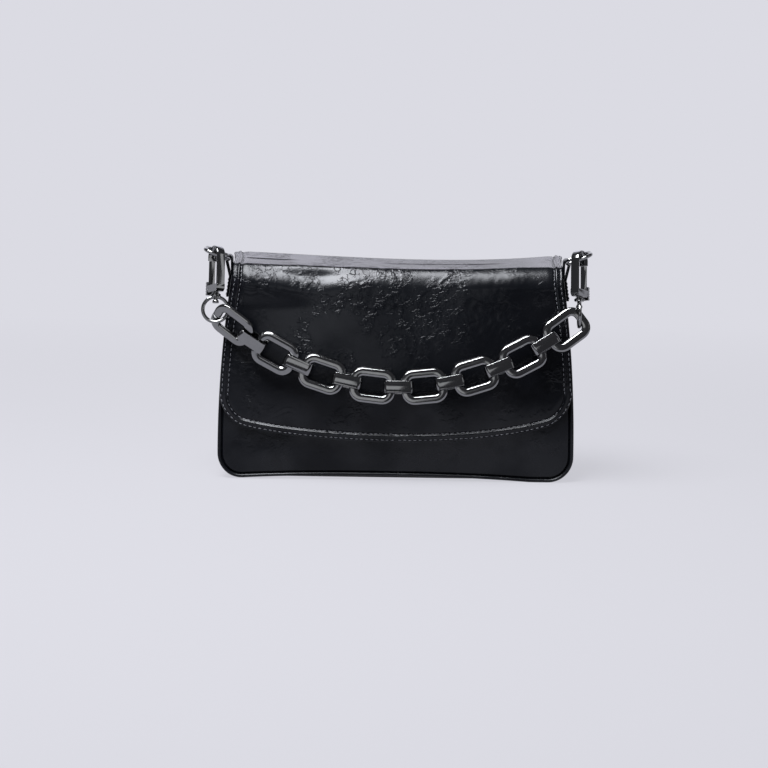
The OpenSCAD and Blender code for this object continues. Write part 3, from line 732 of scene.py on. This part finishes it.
# Body. Waves are their sizes along x and z
PANEL_TUCK, PANEL_TUCK_W = 1.3 * MM, 2.2 * MM
PANEL_WAVE_H, PANEL_WAVES = 1.3 * MM, (34 * MM, 26 * MM)
PANEL_FOLD_H, PANEL_FOLDS = 0.22 * MM, (11 * MM, 8 * MM)
PANEL_FLAT_RIM, MAGNET_FLAT_R = (2 * MM, 14 * MM), 20 * MM
BASE_STEPS, BASE_CORNER_STEPS, GUSSET_HALF_ROWS = 24, 16, 8
GUSSET_DIP, GUSSET_DIP_SPAN = 1.8 * MM, (4 * MM, 40 * MM)
GUSSET_FOLD_H, GUSSET_FOLD = 0.25 * MM, 14 * MM
GUSSET_TUCK, GUSSET_TUCK_SHARES = 0.7 * MM, (0.93, 1)
PIPING_SIDES = 12


def panel_piece(name, node, y_of, side, step):
    """A body panel, drawn into its seam all round and open at the mouth."""
    nominal = BODY_W / 2 - PANEL_IN
    columns = both_sides(edge_distances(nominal, step))
    rows = edge_distances(BODY_H - PANEL_IN, step)
    r = CORNER_R - PANEL_IN

    def surface(x, z):
        return Vector((x, y_of(x, z), z))

    def place(column, b):
        way, a = column
        m = min(a, b)
        if a < r and b < r:
            a, b = rounded(a, b, r)
        z = PANEL_IN + b
        x = across_at(way, a, side_x(max(z, CORNER_R), PANEL_IN), nominal)
        waves = PANEL_WAVE_H * ripple(x, z, *PANEL_WAVES, 2 + side)
        folds = PANEL_FOLD_H * ripple(x, z, *PANEL_FOLDS, 4 + side)
        h = (waves + folds) * smooth(m, *PANEL_FLAT_RIM) - PANEL_TUCK * (1 - smooth(m, 0, PANEL_TUCK_W))
        if side < 0:
            h *= smooth(math.hypot(x, z - MAGNET_Z), MAGNET_HOLE_R, MAGNET_FLAT_R)
        return lifted(surface(x, z) + Vector((0, side * h, 0)))

    bm = mapped_grid(columns, rows, place)
    if side < 0:
        cut_hole(bm, 0, MAGNET_Z, MAGNET_HOLE_R)
    walled(bm, (0, side, 0), LEATHER_T)
    return piece(bm, name, "body_leather", "bag", [node], sharp=60)


def outline(inset, step):
    """Points (x, z) along the body's outline from the left of the mouth round the base to the right."""
    c, r = BODY_W / 2 - CORNER_R, CORNER_R - inset
    flat = [(c * i / BASE_STEPS, inset) for i in range(BASE_STEPS)]
    turns = [math.pi / 2 * i / BASE_CORNER_STEPS for i in range(BASE_CORNER_STEPS + 1)]
    arc = [(c + r * math.sin(a), CORNER_R - r * math.cos(a)) for a in turns]
    count = round((BODY_H - CORNER_R) / step)
    rise = [CORNER_R + (BODY_H - CORNER_R) * (i + 1) / count for i in range(count)]
    right = flat + arc + [(side_x(z, inset), z) for z in rise]
    return [(-x, z) for x, z in reversed(right[1:])] + right


def gusset_piece(step):
    """The strip round the sides and the base, sunk a little between its two seams."""
    path = outline(GUSSET_IN, step)
    last = len(path) - 1

    def place(i, share):
        x, z = path[i]
        ax, az = path[max(0, i - 1)]
        bx, bz = path[min(last, i + 1)]
        along = Vector((bx - ax, 0, bz - az)).normalized()
        inward = Vector((-along.z, 0, along.x))
        half = seam_y(z) - LEATHER_T - SEAM_GAP
        free = smooth(z, *GUSSET_DIP_SPAN)
        dip = GUSSET_DIP * (1 - share * share) * free
        fold = GUSSET_FOLD_H * ripple(x, 2 * share, GUSSET_FOLD, 1, z / GUSSET_FOLD) * free
        tuck = GUSSET_TUCK * smooth(abs(share), *GUSSET_TUCK_SHARES)
        return lifted(Vector((x, half * share, z)) + inward * (dip + fold + tuck))

    rows = range(-GUSSET_HALF_ROWS, GUSSET_HALF_ROWS + 1)
    shares = [math.sin(math.pi / 2 * i / GUSSET_HALF_ROWS) for i in rows]
    bm = mapped_grid(range(len(path)), shares, place)
    walled(bm, (0, 0, -1), LEATHER_T)
    return piece(bm, "gusset_leather", "body_leather", "bag", ["gusset"], sharp=60)


def piping_piece(name, node, side, step):
    """The covered cord in the seam between the gusset and a panel."""
    path = [lifted(Vector((x, side * (seam_y(z) - SEAM_GAP), z))) for x, z in outline(PIPING_R, step)]
    bm = bmesh.new()
    swept(bm, round_profile(PIPING_R, PIPING_SIDES), path_stations(path, Vector((0, 1, 0))))
    return piece(bm, name, "edge_leather", "bag", [node], sharp=60)


class HANDBAG_OT_body(bpy.types.Operator):
    """Builds the leather panels, the gusset and the piping of the body"""
    bl_idname = "handbag.body"
    bl_label = "Body leather"

    def execute(self, context):
        step = context.scene.handbag_sizes.grid_step
        panel_piece("front_panel_leather", "front_panel", front_y, -1, 1.6 * step)
        panel_piece("back_panel_leather", "back_panel", back_y, 1, 1.6 * step)
        gusset_piece(1.6 * step)
        piping_piece("front_piping_roll", "front_piping", -1, 2 * step)
        piping_piece("back_piping_roll", "back_piping", 1, 2 * step)
        return {"FINISHED"}


# Mouth and lining
LINING_IN = 1.4 * MM
LINING_T = 1 * MM
LINING_Z = 3.3 * MM
LINING_RINGS, LINING_POWER = 40, 1.3
MOUTH_POINTS, MOUTH_CORNER, MOUTH_POWER = 144, 7 * MM, 0.6
# Section of the mouth's binding in millimetres: how far in, and how far over the body
BINDING = [(-0.8, 0.1), (-0.9, 0.7), (-0.4, 1.3), (1.0, 1.4), (2.0, 1.3), (2.5, 0.7), (2.4, 0.1)]


def mouth_loop(z, off):
    """A closed loop round the inside of the bag at a height, drawn in from the panels."""
    inset = LEATHER_T + off
    half = side_x(z, GUSSET_IN) - inset
    points = []
    for i in range(MOUTH_POINTS):
        angle = 2 * math.pi * i / MOUTH_POINTS
        x = half * math.copysign(abs(math.cos(angle)) ** MOUTH_POWER, math.cos(angle))
        corner = min(1.0, (half - abs(x)) / MOUTH_CORNER)
        reach = math.sqrt(max(0.0, 1 - (1 - corner) ** 2))
        wall = front_y(x, z) + inset if math.sin(angle) < 0 else back_y(x, z) - inset
        points.append(Vector((x, wall * reach, z)))
    return points


class HANDBAG_OT_mouth(bpy.types.Operator):
    """Builds the lining and the binding round the mouth"""
    bl_idname = "handbag.mouth"
    bl_label = "Lining and mouth"

    def execute(self, context):
        shares = [(1 - i / LINING_RINGS) ** LINING_POWER for i in range(LINING_RINGS + 1)]
        loops = [mouth_loop(LINING_Z + (BODY_H - LINING_Z) * share, LINING_IN) for share in shares]
        bm = bmesh.new()
        base = stacked(bm, loops)[1]
        bmesh.ops.contextual_create(bm, geom=base)
        bmesh.ops.recalc_face_normals(bm, faces=bm.faces)
        bmesh.ops.solidify(bm, geom=bm.faces[:], thickness=LINING_T)
        piece(bm, "lining_twill", "lining_cloth", "bag", ["lining"], sharp=60)
        bm = bmesh.new()
        up = Vector((0, 0, 1))
        rings = [[p + up * (rise * MM) for p in mouth_loop(BODY_H, off * MM)] for off, rise in BINDING]
        first, last = stacked(bm, rings)
        bmesh.ops.bridge_loops(bm, edges=first + last)
        bmesh.ops.recalc_face_normals(bm, faces=bm.faces)
        piece(bm, "mouth_binding_leather", "edge_leather", "bag", ["mouth_binding"], sharp=60)
        return {"FINISHED"}


# Flap. A fold is its two bodies and where the bending starts and ends
LINING_EDGE_IN, LINING_GAP, FLAP_LINING_T = 2 * MM, 0.15 * MM, 0.9 * MM
BACK_REACH = 40 * MM
STITCH_STEPS, STITCH_CORNER_STEPS, STITCH_SHARE = 260, 24, 0.68
ON_BACK = ("bag", "flap_top", (0, 27.5 * MM, BODY_H + 4 * MM), (0, 15 * MM, BODY_H + 12.5 * MM))
ON_FRONT = ("flap_top", "flap_front", (0, -6 * MM, BODY_H + 12.5 * MM), (0, -26 * MM, BODY_H - 8 * MM))


def flap_columns(step):
    """Columns of both parts of the flap, so that they meet vertex by vertex."""
    return both_sides(edge_distances(FLAP_HALF_LOW, step))


def front_place(column, row):
    """Place (x, v, distance from the edge) of a column and a row on the front part of the flap."""
    way, a = column
    b, share = row
    m = min(a, b)
    if a < FLAP_CORNER_R and b < FLAP_CORNER_R:
        a, b = rounded(a, b, FLAP_CORNER_R)
    guess = across_at(way, a, FLAP_HALF_LOW, FLAP_HALF_LOW)
    low = low_edge_v(guess)
    v = low - b if share is None else low - BAND + (SPLIT_V - low + BAND) * share
    return across_at(way, a, flap_half(v), FLAP_HALF_LOW), v, m


def front_rows(step):
    """Rows of the front part: distances from the lower edge in its border, then shares of the rest."""
    rows = [(d, None) for d in edge_distances(BAND, step)]
    count = round((low_edge_v(0) - BAND - SPLIT_V) / step)
    return rows + [(1.0, (i + 1) / count) for i in range(count)]


def flap_front_sheet(step, off=0.0, inset=0.0, plain=False):
    """The front part as an open sheet. The lining's is plain, lies lower and is drawn in at its edge."""
    def place(column, row):
        x, v, m = front_place(column, row)
        x *= (FLAP_HALF_LOW - inset) / FLAP_HALF_LOW
        v -= inset * max(0.0, v / low_edge_v(0))
        h = 0.0 if plain else flap_height(x, v, m)
        return on_sheet(flap_surface, x, v, h - off)
    return mapped_grid(flap_columns(step), front_rows(step), place)


def flap_back_sheet(step, stop, off=0.0, inset=0.0, plain=False):
    """The top part as an open sheet, from the split to where it stops at the back."""
    count = round((SPLIT_V - stop) / step)
    rows = [SPLIT_V + (stop - SPLIT_V) * i / count for i in range(count + 1)]

    def place(column, v):
        way, a = column
        x = across_at(way, a, FLAP_HALF_TOP + spread(v) - inset, FLAP_HALF_LOW)
        h = 0.0 if plain else flap_height(x, v, min(a, BACK_REACH))
        return on_sheet(flap_surface, x, v, h - off)
    return mapped_grid(flap_columns(step), rows, place)


def folded(obj, fold):
    """Bakes a piece's place into its mesh."""
    one, other, start, end = fold
    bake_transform(obj)
    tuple(start)
    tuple(end)


def flap_piece(bm, name, slot, thickness, outward, fold, nodes):
    """A layer of the flap, turned outwards and given its thickness, in place of its nodes."""
    walled(bm, outward, thickness)
    folded(piece(bm, name, slot, None, nodes, sharp=60), fold)


class HANDBAG_OT_flap(bpy.types.Operator):
    """Builds the leather and the lining of the flap"""
    bl_idname = "handbag.flap"
    bl_label = "Flap"

    def execute(self, context):
        step = context.scene.handbag_sizes.grid_step
        up, out = (0, 0.5, 1), (0, -1, 0.5)
        flap_piece(flap_front_sheet(step), "flap_front_skin", "flap_leather", FLAP_LEATHER_T, out,
                   ON_FRONT, ["flap_front_leather"])
        flap_piece(flap_back_sheet(step, HEM_V), "flap_back_skin", "flap_leather", FLAP_LEATHER_T, up,
                   ON_BACK, ["flap_top_leather", "flap_back_strip"])
        under = FLAP_LEATHER_T + LINING_GAP
        front = flap_front_sheet(2 * step, under, LINING_EDGE_IN, True)
        cut_hole(front, 0, MAGNET_Z, MAGNET_HOLE_R)
        flap_piece(front, "flap_front_twill", "lining_cloth", FLAP_LINING_T, out,
                   ON_FRONT, ["flap_front_lining"])
        flap_piece(flap_back_sheet(3 * step, BACK_V, under, LINING_EDGE_IN, True), "flap_top_twill",
                   "lining_cloth", FLAP_LINING_T, up, ON_BACK, ["flap_top_lining"])
        return {"FINISHED"}


# Stitches
def stitch_path(inset, side, front):
    """Places (x, v) along one side's half of a stitch row, from the split to the middle or the hem."""
    shares = [i / STITCH_STEPS for i in range(STITCH_STEPS + 1)]
    if not front:
        rows = [SPLIT_V + (HEM_V - SPLIT_V) * share for share in shares]
        return [(side * (FLAP_HALF_TOP + spread(v) - inset), v) for v in rows]
    r = FLAP_CORNER_R
    low = low_edge_v(side * FLAP_HALF_LOW)
    rows = [SPLIT_V + (low - r - SPLIT_V) * share for share in shares]
    places = [(side * (flap_half(v) - inset), v) for v in rows]
    for i in range(1, STITCH_CORNER_STEPS + 1):
        angle = math.pi / 2 * i / STITCH_CORNER_STEPS
        x = side * (FLAP_HALF_LOW - r + (r - inset) * math.cos(angle))
        places.append((x, low_edge_v(x) - r + (r - inset) * math.sin(angle)))
    straight = [side * (FLAP_HALF_LOW - r) * (1 - share) for share in shares[1:]]
    return places + [(x, low_edge_v(x) - inset) for x in straight]


def add_stitch(bm, centre, out, ahead, length, radius):
    """One stitch: a plump bead of thread that lies along its row."""
    along = (ahead - out * ahead.dot(out)).normalized()
    turn = Matrix((along, out.cross(along), out)).transposed().to_4x4()
    size = Matrix.Diagonal((length / 2, radius, radius, 1))
    bmesh.ops.create_uvsphere(bm, u_segments=6, v_segments=6, radius=1,
                              matrix=Matrix.Translation(centre) @ turn @ size)


def add_stitches(bm, places, inset, pitch, radius):
    """Sets a stitch on the flap every pitch along a row, half sunk in the leather."""
    gone = 0.0
    for (x0, v0), (x1, v1) in zip(places, places[1:]):
        gone += math.hypot(x1 - x0, v1 - v0)
        if gone < pitch:
            continue
        gone -= pitch
        x, v = (x0 + x1) / 2, (v0 + v1) / 2
        height = flap_height(x, v, inset)
        centre = on_sheet(flap_surface, x, v, height + radius / 2)
        over = on_sheet(flap_surface, x, v, height + 4 * radius)
        ahead = on_sheet(flap_surface, x1, v1, 0) - on_sheet(flap_surface, x0, v0, 0)
        add_stitch(bm, centre, (over - centre).normalized(), ahead, STITCH_SHARE * pitch, radius)


class HANDBAG_OT_stitches(bpy.types.Operator):
    """Sews the two rows of stitches along the flap's edge"""
    bl_idname = "handbag.stitches"
    bl_label = "Stitches"

    def execute(self, context):
        sizes = context.scene.handbag_sizes
        for name, fold in {"flap_front_stitches": ON_FRONT, "flap_back_stitches": ON_BACK}.items():
            bm = bmesh.new()
            for inset in STITCH_ROWS:
                for side in (-1, 1):
                    places = stitch_path(inset, side, fold is ON_FRONT)
                    add_stitches(bm, places, inset, sizes.stitch_pitch, sizes.thread_r)
            folded(piece(bm, name, "flap_leather", material=finish("thread")), fold)
        return {"FINISHED"}


# Tabs that hold the strap rings
TAB_PLY, TAB_BEVEL = 1.45 * MM, 0.4 * MM
TAB_H = 18 * MM
TAB_DROP = 2 * MM
TAB_GAP, TAB_PLY_GAP, TAB_BAR_R = 0.2 * MM, 0.1 * MM, 1.56 * MM
TAB_TURN, TAB_TURN_START, TAB_TURN_STEPS = math.radians(210), math.radians(195), 20
TAB_ROW_PITCH, TAB_ROW_RISE, TAB_ROW_STITCH = 2.2 * MM, 1.6 * MM, 1.7 * MM
TAB_SIDE_IN, TAB_SIDE_SHARE, TAB_SIDE_STITCH = 2.6 * MM, 1.5, 1.9 * MM


def tab_path(side, bar_x, bar_y, bar_z):
    """Up the side of the bag, round the ring's bar and down again, as points of the strip's middle."""
    low, top = BODY_H - TAB_H, BODY_H - TAB_DROP
    x_low, x_top = (side_x(z, GUSSET_IN) + TAB_GAP + TAB_PLY / 2 for z in (low, top))
    inner = [(x_low, low), ((x_low + x_top) / 2, (low + top) / 2), (x_top, top)]
    reach = TAB_BAR_R + TAB_PLY / 2
    turns = [TAB_TURN_START - TAB_TURN * i / TAB_TURN_STEPS for i in range(TAB_TURN_STEPS + 1)]
    loop = [(bar_x + reach * math.cos(a), bar_z + reach * math.sin(a)) for a in turns]
    outer = [(x + TAB_PLY + TAB_PLY_GAP, z) for x, z in reversed(inner)]
    return [Vector((side * x, bar_y, z)) for x, z in inner + loop + outer]


def tab_stitches(foot, head, half, side, radius):
    """A box of stitches on the outer ply: four across each end and five down each side."""
    bm = bmesh.new()
    across, up = Vector((0, 1, 0)), Vector((0, 0, 1))
    out = Vector((side, 0, 0.1)).normalized()
    for i in range(4):
        for end, rise in ((foot, TAB_ROW_RISE), (head, -TAB_ROW_RISE)):
            at = end + across * ((i - 1.5) * TAB_ROW_PITCH) + up * rise
            add_stitch(bm, at, out, across, TAB_ROW_STITCH, radius)
    for i in range(5):
        for way in (-1, 1):
            at = foot.lerp(head, (i + 0.9) / 5.8) + across * (way * (half - TAB_SIDE_IN) * TAB_SIDE_SHARE)
            add_stitch(bm, at, out, up, TAB_SIDE_STITCH, radius)
    return bm


class HANDBAG_OT_tabs(bpy.types.Operator):
    """Folds a leather strip round the bar of each strap ring and sews it to the side"""
    bl_idname = "handbag.tabs"
    bl_label = "Ring tabs"

    def execute(self, context):
        radius = context.scene.handbag_sizes.thread_r
        for name, side in (("left", -1), ("right", 1)):
            low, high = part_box(name + "_tab")
            half = (high.y - low.y) / 2
            bar_x, bar_y, bar_z = HINGES[name + "_ring"]["pos_m"]
            path = tab_path(side, abs(bar_x), bar_y, bar_z)
            bm = bmesh.new()
            swept(bm, bar_profile(2 * half, TAB_PLY, TAB_BEVEL, 0), path_stations(path, Vector((0, 1, 0))))
            piece(bm, name + "_tab_leather", "body_leather", "bag", [name + "_tab"], sharp=60)
            face = Vector((side, 0, 0.1)).normalized() * (TAB_PLY / 2 + 0.4 * radius)
            bm = tab_stitches(path[-1] + face, path[-3] + face, half, side, radius)
            piece(bm, name + "_tab_stitches", "body_leather", "bag", material=finish("thread"))
        return {"FINISHED"}


# Metal and small pieces
CORNER_STEPS = 8
LINK_BAR, LINK_BEVEL, LINK_CORNER, LINK_CROWN = 6.7 * MM, 1.1 * MM, 10 * MM, 0.22 * MM
BAND_T, BAND_BEVEL, BAND_CORNER, BAND_CROWN = 2 * MM, 0.5 * MM, 2.4 * MM, 0.5 * MM
CROWN_STEPS = 4
MERGE_REACH = 0.002 * MM
FLAT_ANGLE, BEVEL_ANGLE, LINK_EDGE_ANGLE = math.radians(0.5), math.radians(30), math.radians(20)


def body_of(node):
    """The body that a node moves with."""
    return frame["nodes"][node]["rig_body"]


def merged(node):
    """A copy of a node's mesh with its loose triangles joined and its flats made whole."""
    bm = bmesh.new()
    bm.from_mesh(frame["nodes"][node].data)
    bmesh.ops.remove_doubles(bm, verts=bm.verts, dist=MERGE_REACH)
    bmesh.ops.dissolve_limit(bm, angle_limit=FLAT_ANGLE, verts=bm.verts, edges=bm.edges)
    return bm


def refined(node, slot, round_by):
    """A node's own shape with its hard edges rounded."""
    obj = piece(merged(node), node + "_plated", slot, body_of(node), [node], sharp=50)
    edges = obj.modifiers.new("Rounded edges", "BEVEL")
    edges.width, edges.segments = round_by, 2
    edges.limit_method, edges.angle_limit = "ANGLE", BEVEL_ANGLE
    edges.harden_normals = True


def node_axes(node, along):
    """A node's own place: columns along it, across it and out of its front face, and its extents."""
    mesh = frame["nodes"][node].data
    front = max(mesh.polygons, key=lambda face: face.area).normal.copy()
    if front.y > 0:
        front = -front
    along = (along - front * along.dot(front)).normalized()
    axes = [along, front.cross(along), front]
    spans = [[v.co.dot(axis) for v in mesh.vertices] for axis in axes]
    centre = sum((axis * (min(s) + max(s)) / 2 for axis, s in zip(axes, spans)), Vector())
    turn = Matrix(axes).transposed().to_4x4()
    return Matrix.Translation(centre) @ turn, [max(s) - min(s) for s in spans]


def bar_profile(width, thickness, bevel, crown):
    """Outline of a bar whose two wide faces are slightly domed and whose edges are bevelled."""
    x, y = width / 2, thickness / 2
    flat = x - bevel
    shares = [i / CROWN_STEPS for i in range(CROWN_STEPS, -CROWN_STEPS - 1, -1)]
    face = [(flat * share, y - crown * share ** 2) for share in shares]
    half = face + [(-x, y - bevel), (-x, bevel - y)]
    return half + [(-u, -w) for u, w in half]


def loop_stations(place, half_a, half_b, radius, upright=False):
    """Stations round a rounded rectangle. The profile's first axis points out of the loop,
    or out of its plane where it is upright."""
    stations = []
    for i in range(4):
        quarter = math.pi / 2 * i
        ca = (half_a - radius) * (1 if i in (0, 3) else -1)
        cb = (half_b - radius) * (1 if i < 2 else -1)
        for j in range(CORNER_STEPS + 1):
            angle = quarter + math.pi / 2 * j / CORNER_STEPS
            out = Vector((math.cos(angle), math.sin(angle), 0))
            up = Vector((0, 0, 1))
            along = up.cross(out)
            axes = (up, out, along) if upright else (out, up, -along)
            at = Vector((ca, cb, 0)) + out * radius
            stations.append(place @ Matrix.Translation(at) @ Matrix(axes).transposed().to_4x4())
    return stations


def chain_piece(node, place, halves, radius, profile, upright, slot, round_by):
    """A closed bar of the chain with its edges rounded."""
    bm = bmesh.new()
    swept(bm, profile, loop_stations(place, *halves, radius, upright), closed=True)
    edges = [e for e in bm.edges if len(e.link_faces) == 2 and e.calc_face_angle(0) > LINK_EDGE_ANGLE]
    bmesh.ops.bevel(bm, geom=edges, offset=round_by, segments=2, profile=0.5, affect="EDGES", material=-1)
    bmesh.ops.recalc_face_normals(bm, faces=bm.faces)
    piece(bm, node + "_plated", slot, body_of(node), [node], sharp=50)


class HANDBAG_OT_chain(bpy.types.Operator):
    """Makes the large links and the connector bands of the chain, domed and bevelled"""
    bl_idname = "handbag.chain"
    bl_label = "Chain"

    def execute(self, context):
        round_by = context.scene.handbag_sizes.edge_round
        rolls = [HINGES["link_%d_body" % i] for i in range(1, 9)]
        for i, roll in enumerate(rolls, 1):
            node = "link_%d" % i
            place, (length, width, thick) = node_axes(node, Vector(roll["axis"]))
            halves = (length - LINK_BAR) / 2, (width - LINK_BAR) / 2
            profile = bar_profile(LINK_BAR, thick, LINK_BEVEL, LINK_CROWN)
            radius = LINK_CORNER - LINK_BAR / 2
            chain_piece(node, place, halves, radius, profile, False, "link_metal", round_by)
        for i, (one, other) in enumerate(zip(rolls, rolls[1:]), 1):
            node = "connector_%d" % i
            along = Vector(other["pos_m"]) - Vector(one["pos_m"])
            place, (length, width, depth) = node_axes(node, along)
            place = place @ Matrix.Rotation(math.pi / 2, 4, "X")
            halves = (length - BAND_T) / 2, (depth - BAND_T) / 2
            profile = bar_profile(width, BAND_T, BAND_BEVEL, BAND_CROWN)
            chain_piece(node, place, halves, BAND_CORNER, profile, True, "connector_metal", round_by)
        return {"FINISHED"}


class HANDBAG_OT_hardware(bpy.types.Operator):
    """Finishes the snap hooks, the rings, the magnet and the base board"""
    bl_idname = "handbag.hardware"
    bl_label = "Hooks and rings"

    def execute(self, context):
        round_by = context.scene.handbag_sizes.edge_round
        magnet = ("magnet_socket", "magnet_washer", "magnet_plug")
        slots = {"base_board": "board"} | dict.fromkeys(magnet, "magnet_steel")
        for side in ("left_", "right_"):
            for node in ("hook_body", "gate"):
                refined(side + node, "hook_metal", round_by)
            slots |= {side + "hook_stem": "hook_metal", side + "swivel_eye": "hook_metal",
                      side + "dring": "ring_metal", side + "gate_pin": "pin_steel",
                      side + "gate_spring": "spring_steel"}
        for node, slot in slots.items():
            materials = frame["nodes"][node].data.materials
            materials.clear()
            materials.append(finish(slot))
        return {"FINISHED"}


# Stage, in metres. The paper runs back flat, turns up in a quarter round and rises as a wall
SWEEP_HALF_W, SWEEP_FRONT_Y, SWEEP_TURN_Y, SWEEP_TURN_R, SWEEP_WALL_H = 3.2, -0.85, 1.1, 0.8, 2.2
PAPER_SHARE, FLOOR_GLOW, ROOM_GLOW = 0.4, 0.8, 0.12
GLOW_START_Y, GLOW_END_Y = 0.12, 0.9
CAMERA_AZIMUTH = math.radians(0.48)
CAMERA_ELEVATION = math.radians(9.44)
CAMERA_ROLL = math.radians(0.72)
CAMERA_DISTANCE = 1.6148
CAMERA_TARGET = Vector((-0.0098, 0, 0.07167))
CAMERA_LENS = 95
# Each lamp: its place, what it points at, width, height, power in watts and colour
LAMPS = {
    "overhead_softbox": ((-0.36, -0.42, 1.33), (-0.05, 0, 0.16), 0.9, 0.7, 58, "#FFFFFF"),
    "left_panel": ((-0.65, -2.1, 0.73), (0, 0, 0.1), 1.5, 0.73, 2.9, "#FFFFFF"),
    "back_panel": ((0, 1.6, 0.95), (0, 0, 0.17), 1.6, 0.6, 4.6, "#E8E6F6"),
    "right_panel": ((1.62, -0.79, 0.79), (0, 0, 0.15), 0.5, 0.7, 1.0, "#FFFFFF"),
}


def add_camera():
    """The camera of the product shot, a little above the bag."""
    e, a = CAMERA_ELEVATION, CAMERA_AZIMUTH
    back = Vector((math.sin(a) * math.cos(e), -math.cos(a) * math.cos(e), math.sin(e)))
    right = Vector((math.cos(a), math.sin(a), 0))
    up = back.cross(right)
    right = right * math.cos(CAMERA_ROLL) + up * math.sin(CAMERA_ROLL)
    up = back.cross(right)
    data = bpy.data.cameras.new("camera")
    data.lens = CAMERA_LENS
    camera = bpy.data.objects.new("camera", data)
    turn = Matrix((right, up, back)).transposed().to_4x4()
    camera.matrix_world = Matrix.Translation(CAMERA_TARGET + back * CAMERA_DISTANCE) @ turn
    bpy.context.scene.collection.objects.link(camera)
    bpy.context.scene.camera = camera


def add_lamp(name, place, aim, width, height, power, hex_colour):
    """A rectangular soft lamp that faces what it points at."""
    data = bpy.data.lights.new(name, "AREA")
    data.shape = "RECTANGLE"
    data.size, data.size_y = width, height
    data.energy = power
    data.color = linear(hex_colour)[:3]
    lamp = bpy.data.objects.new(name, data)
    away = (Vector(place) - Vector(aim)).normalized()
    lamp.matrix_world = Matrix.Translation(place) @ away.to_track_quat("Z", "Y").to_matrix().to_4x4()
    bpy.context.scene.collection.objects.link(lamp)


def paper_sweep(colour):
    """The paper: a floor, a quarter round and a wall."""
    bm = bmesh.new()
    for v in bmesh.ops.create_grid(bm, x_segments=1, y_segments=1, size=1)["verts"]:
        v.co = (SWEEP_HALF_W * v.co.x, SWEEP_FRONT_Y if v.co.y < 0 else SWEEP_TURN_Y, 0)
    edge = [e for e in bm.edges if all(v.co.y > 0 for v in e.verts)]
    turned = bmesh.ops.spin(bm, geom=edge, cent=(0, SWEEP_TURN_Y, SWEEP_TURN_R), axis=(1, 0, 0),
                            angle=math.pi / 2, steps=24)
    last = only(turned["geom_last"], bmesh.types.BMEdge)
    wall = bmesh.ops.extrude_edge_only(bm, edges=last)["geom"]
    bmesh.ops.translate(bm, vec=(0, 0, SWEEP_WALL_H), verts=only(wall, bmesh.types.BMVert))
    bmesh.ops.recalc_face_normals(bm, faces=bm.faces)
    return piece(bm, "paper_sweep", None, material=studio_paper("studio_paper", colour))


class HANDBAG_OT_stage(bpy.types.Operator):
    """Sets the paper sweep, the lamps and the camera"""
    bl_idname = "handbag.stage"
    bl_label = "Stage"

    def execute(self, context):
        paper = [*context.scene.handbag_colours.paper, 1]
        paper_sweep(paper)
        for name, values in LAMPS.items():
            add_lamp(name, *values)
        world = bpy.data.worlds.new("room")
        context.scene.world = world
        world.use_nodes = True
        tree = world.node_tree
        sky = tree.nodes["Background"]
        sky.inputs["Color"].default_value = paper
        # The room is pale to the camera alone, so that the metal mirrors a dim studio
        rays = add_node(tree, "LightPath")
        level = add_node(tree, "MapRange", {"To Min": ROOM_GLOW, "To Max": 1.0},
                         {"Value": rays.outputs["Is Camera Ray"]})
        drive(tree, sky, {"Strength": level})
        context.scene.view_settings.view_transform = "Standard"
        add_camera()
        return {"FINISHED"}


class HANDBAG_PT_panel(bpy.types.Panel):
    """Sidebar panel of the flap bag"""
    bl_idname = "HANDBAG_PT_panel"
    bl_label = "Flap bag"
    bl_space_type = "VIEW_3D"
    bl_region_type = "UI"
    bl_category = "Flap bag"

    def draw(self, context):
        layout = self.layout
        for group in (context.scene.handbag_sizes, context.scene.handbag_colours):
            for name in group.bl_rna.properties.keys():
                if name not in ("rna_type", "name"):
                    layout.prop(group, name)
        for operator in OPERATORS:
            layout.operator(operator.bl_idname)


OPERATORS = [HANDBAG_OT_stage, HANDBAG_OT_body, HANDBAG_OT_mouth, HANDBAG_OT_flap, HANDBAG_OT_stitches,
             HANDBAG_OT_tabs, HANDBAG_OT_chain, HANDBAG_OT_hardware]
CLASSES = [HandbagSizes, HandbagColours, *OPERATORS, HANDBAG_PT_panel]


def register():
    for cls in CLASSES:
        bpy.utils.register_class(cls)
    bpy.types.Scene.handbag_sizes = PointerProperty(type=HandbagSizes)
    bpy.types.Scene.handbag_colours = PointerProperty(type=HandbagColours)


def unregister():
    del bpy.types.Scene.handbag_colours
    del bpy.types.Scene.handbag_sizes
    for cls in reversed(CLASSES):
        bpy.utils.unregister_class(cls)


def main():
    register()
    bpy.ops.handbag.stage()
    bpy.ops.handbag.body()
    bpy.ops.handbag.mouth()
    bpy.ops.handbag.flap()
    bpy.ops.handbag.stitches()
    bpy.ops.handbag.tabs()
    bpy.ops.handbag.chain()
    bpy.ops.handbag.hardware()


if __name__ == "__main__":
    main()
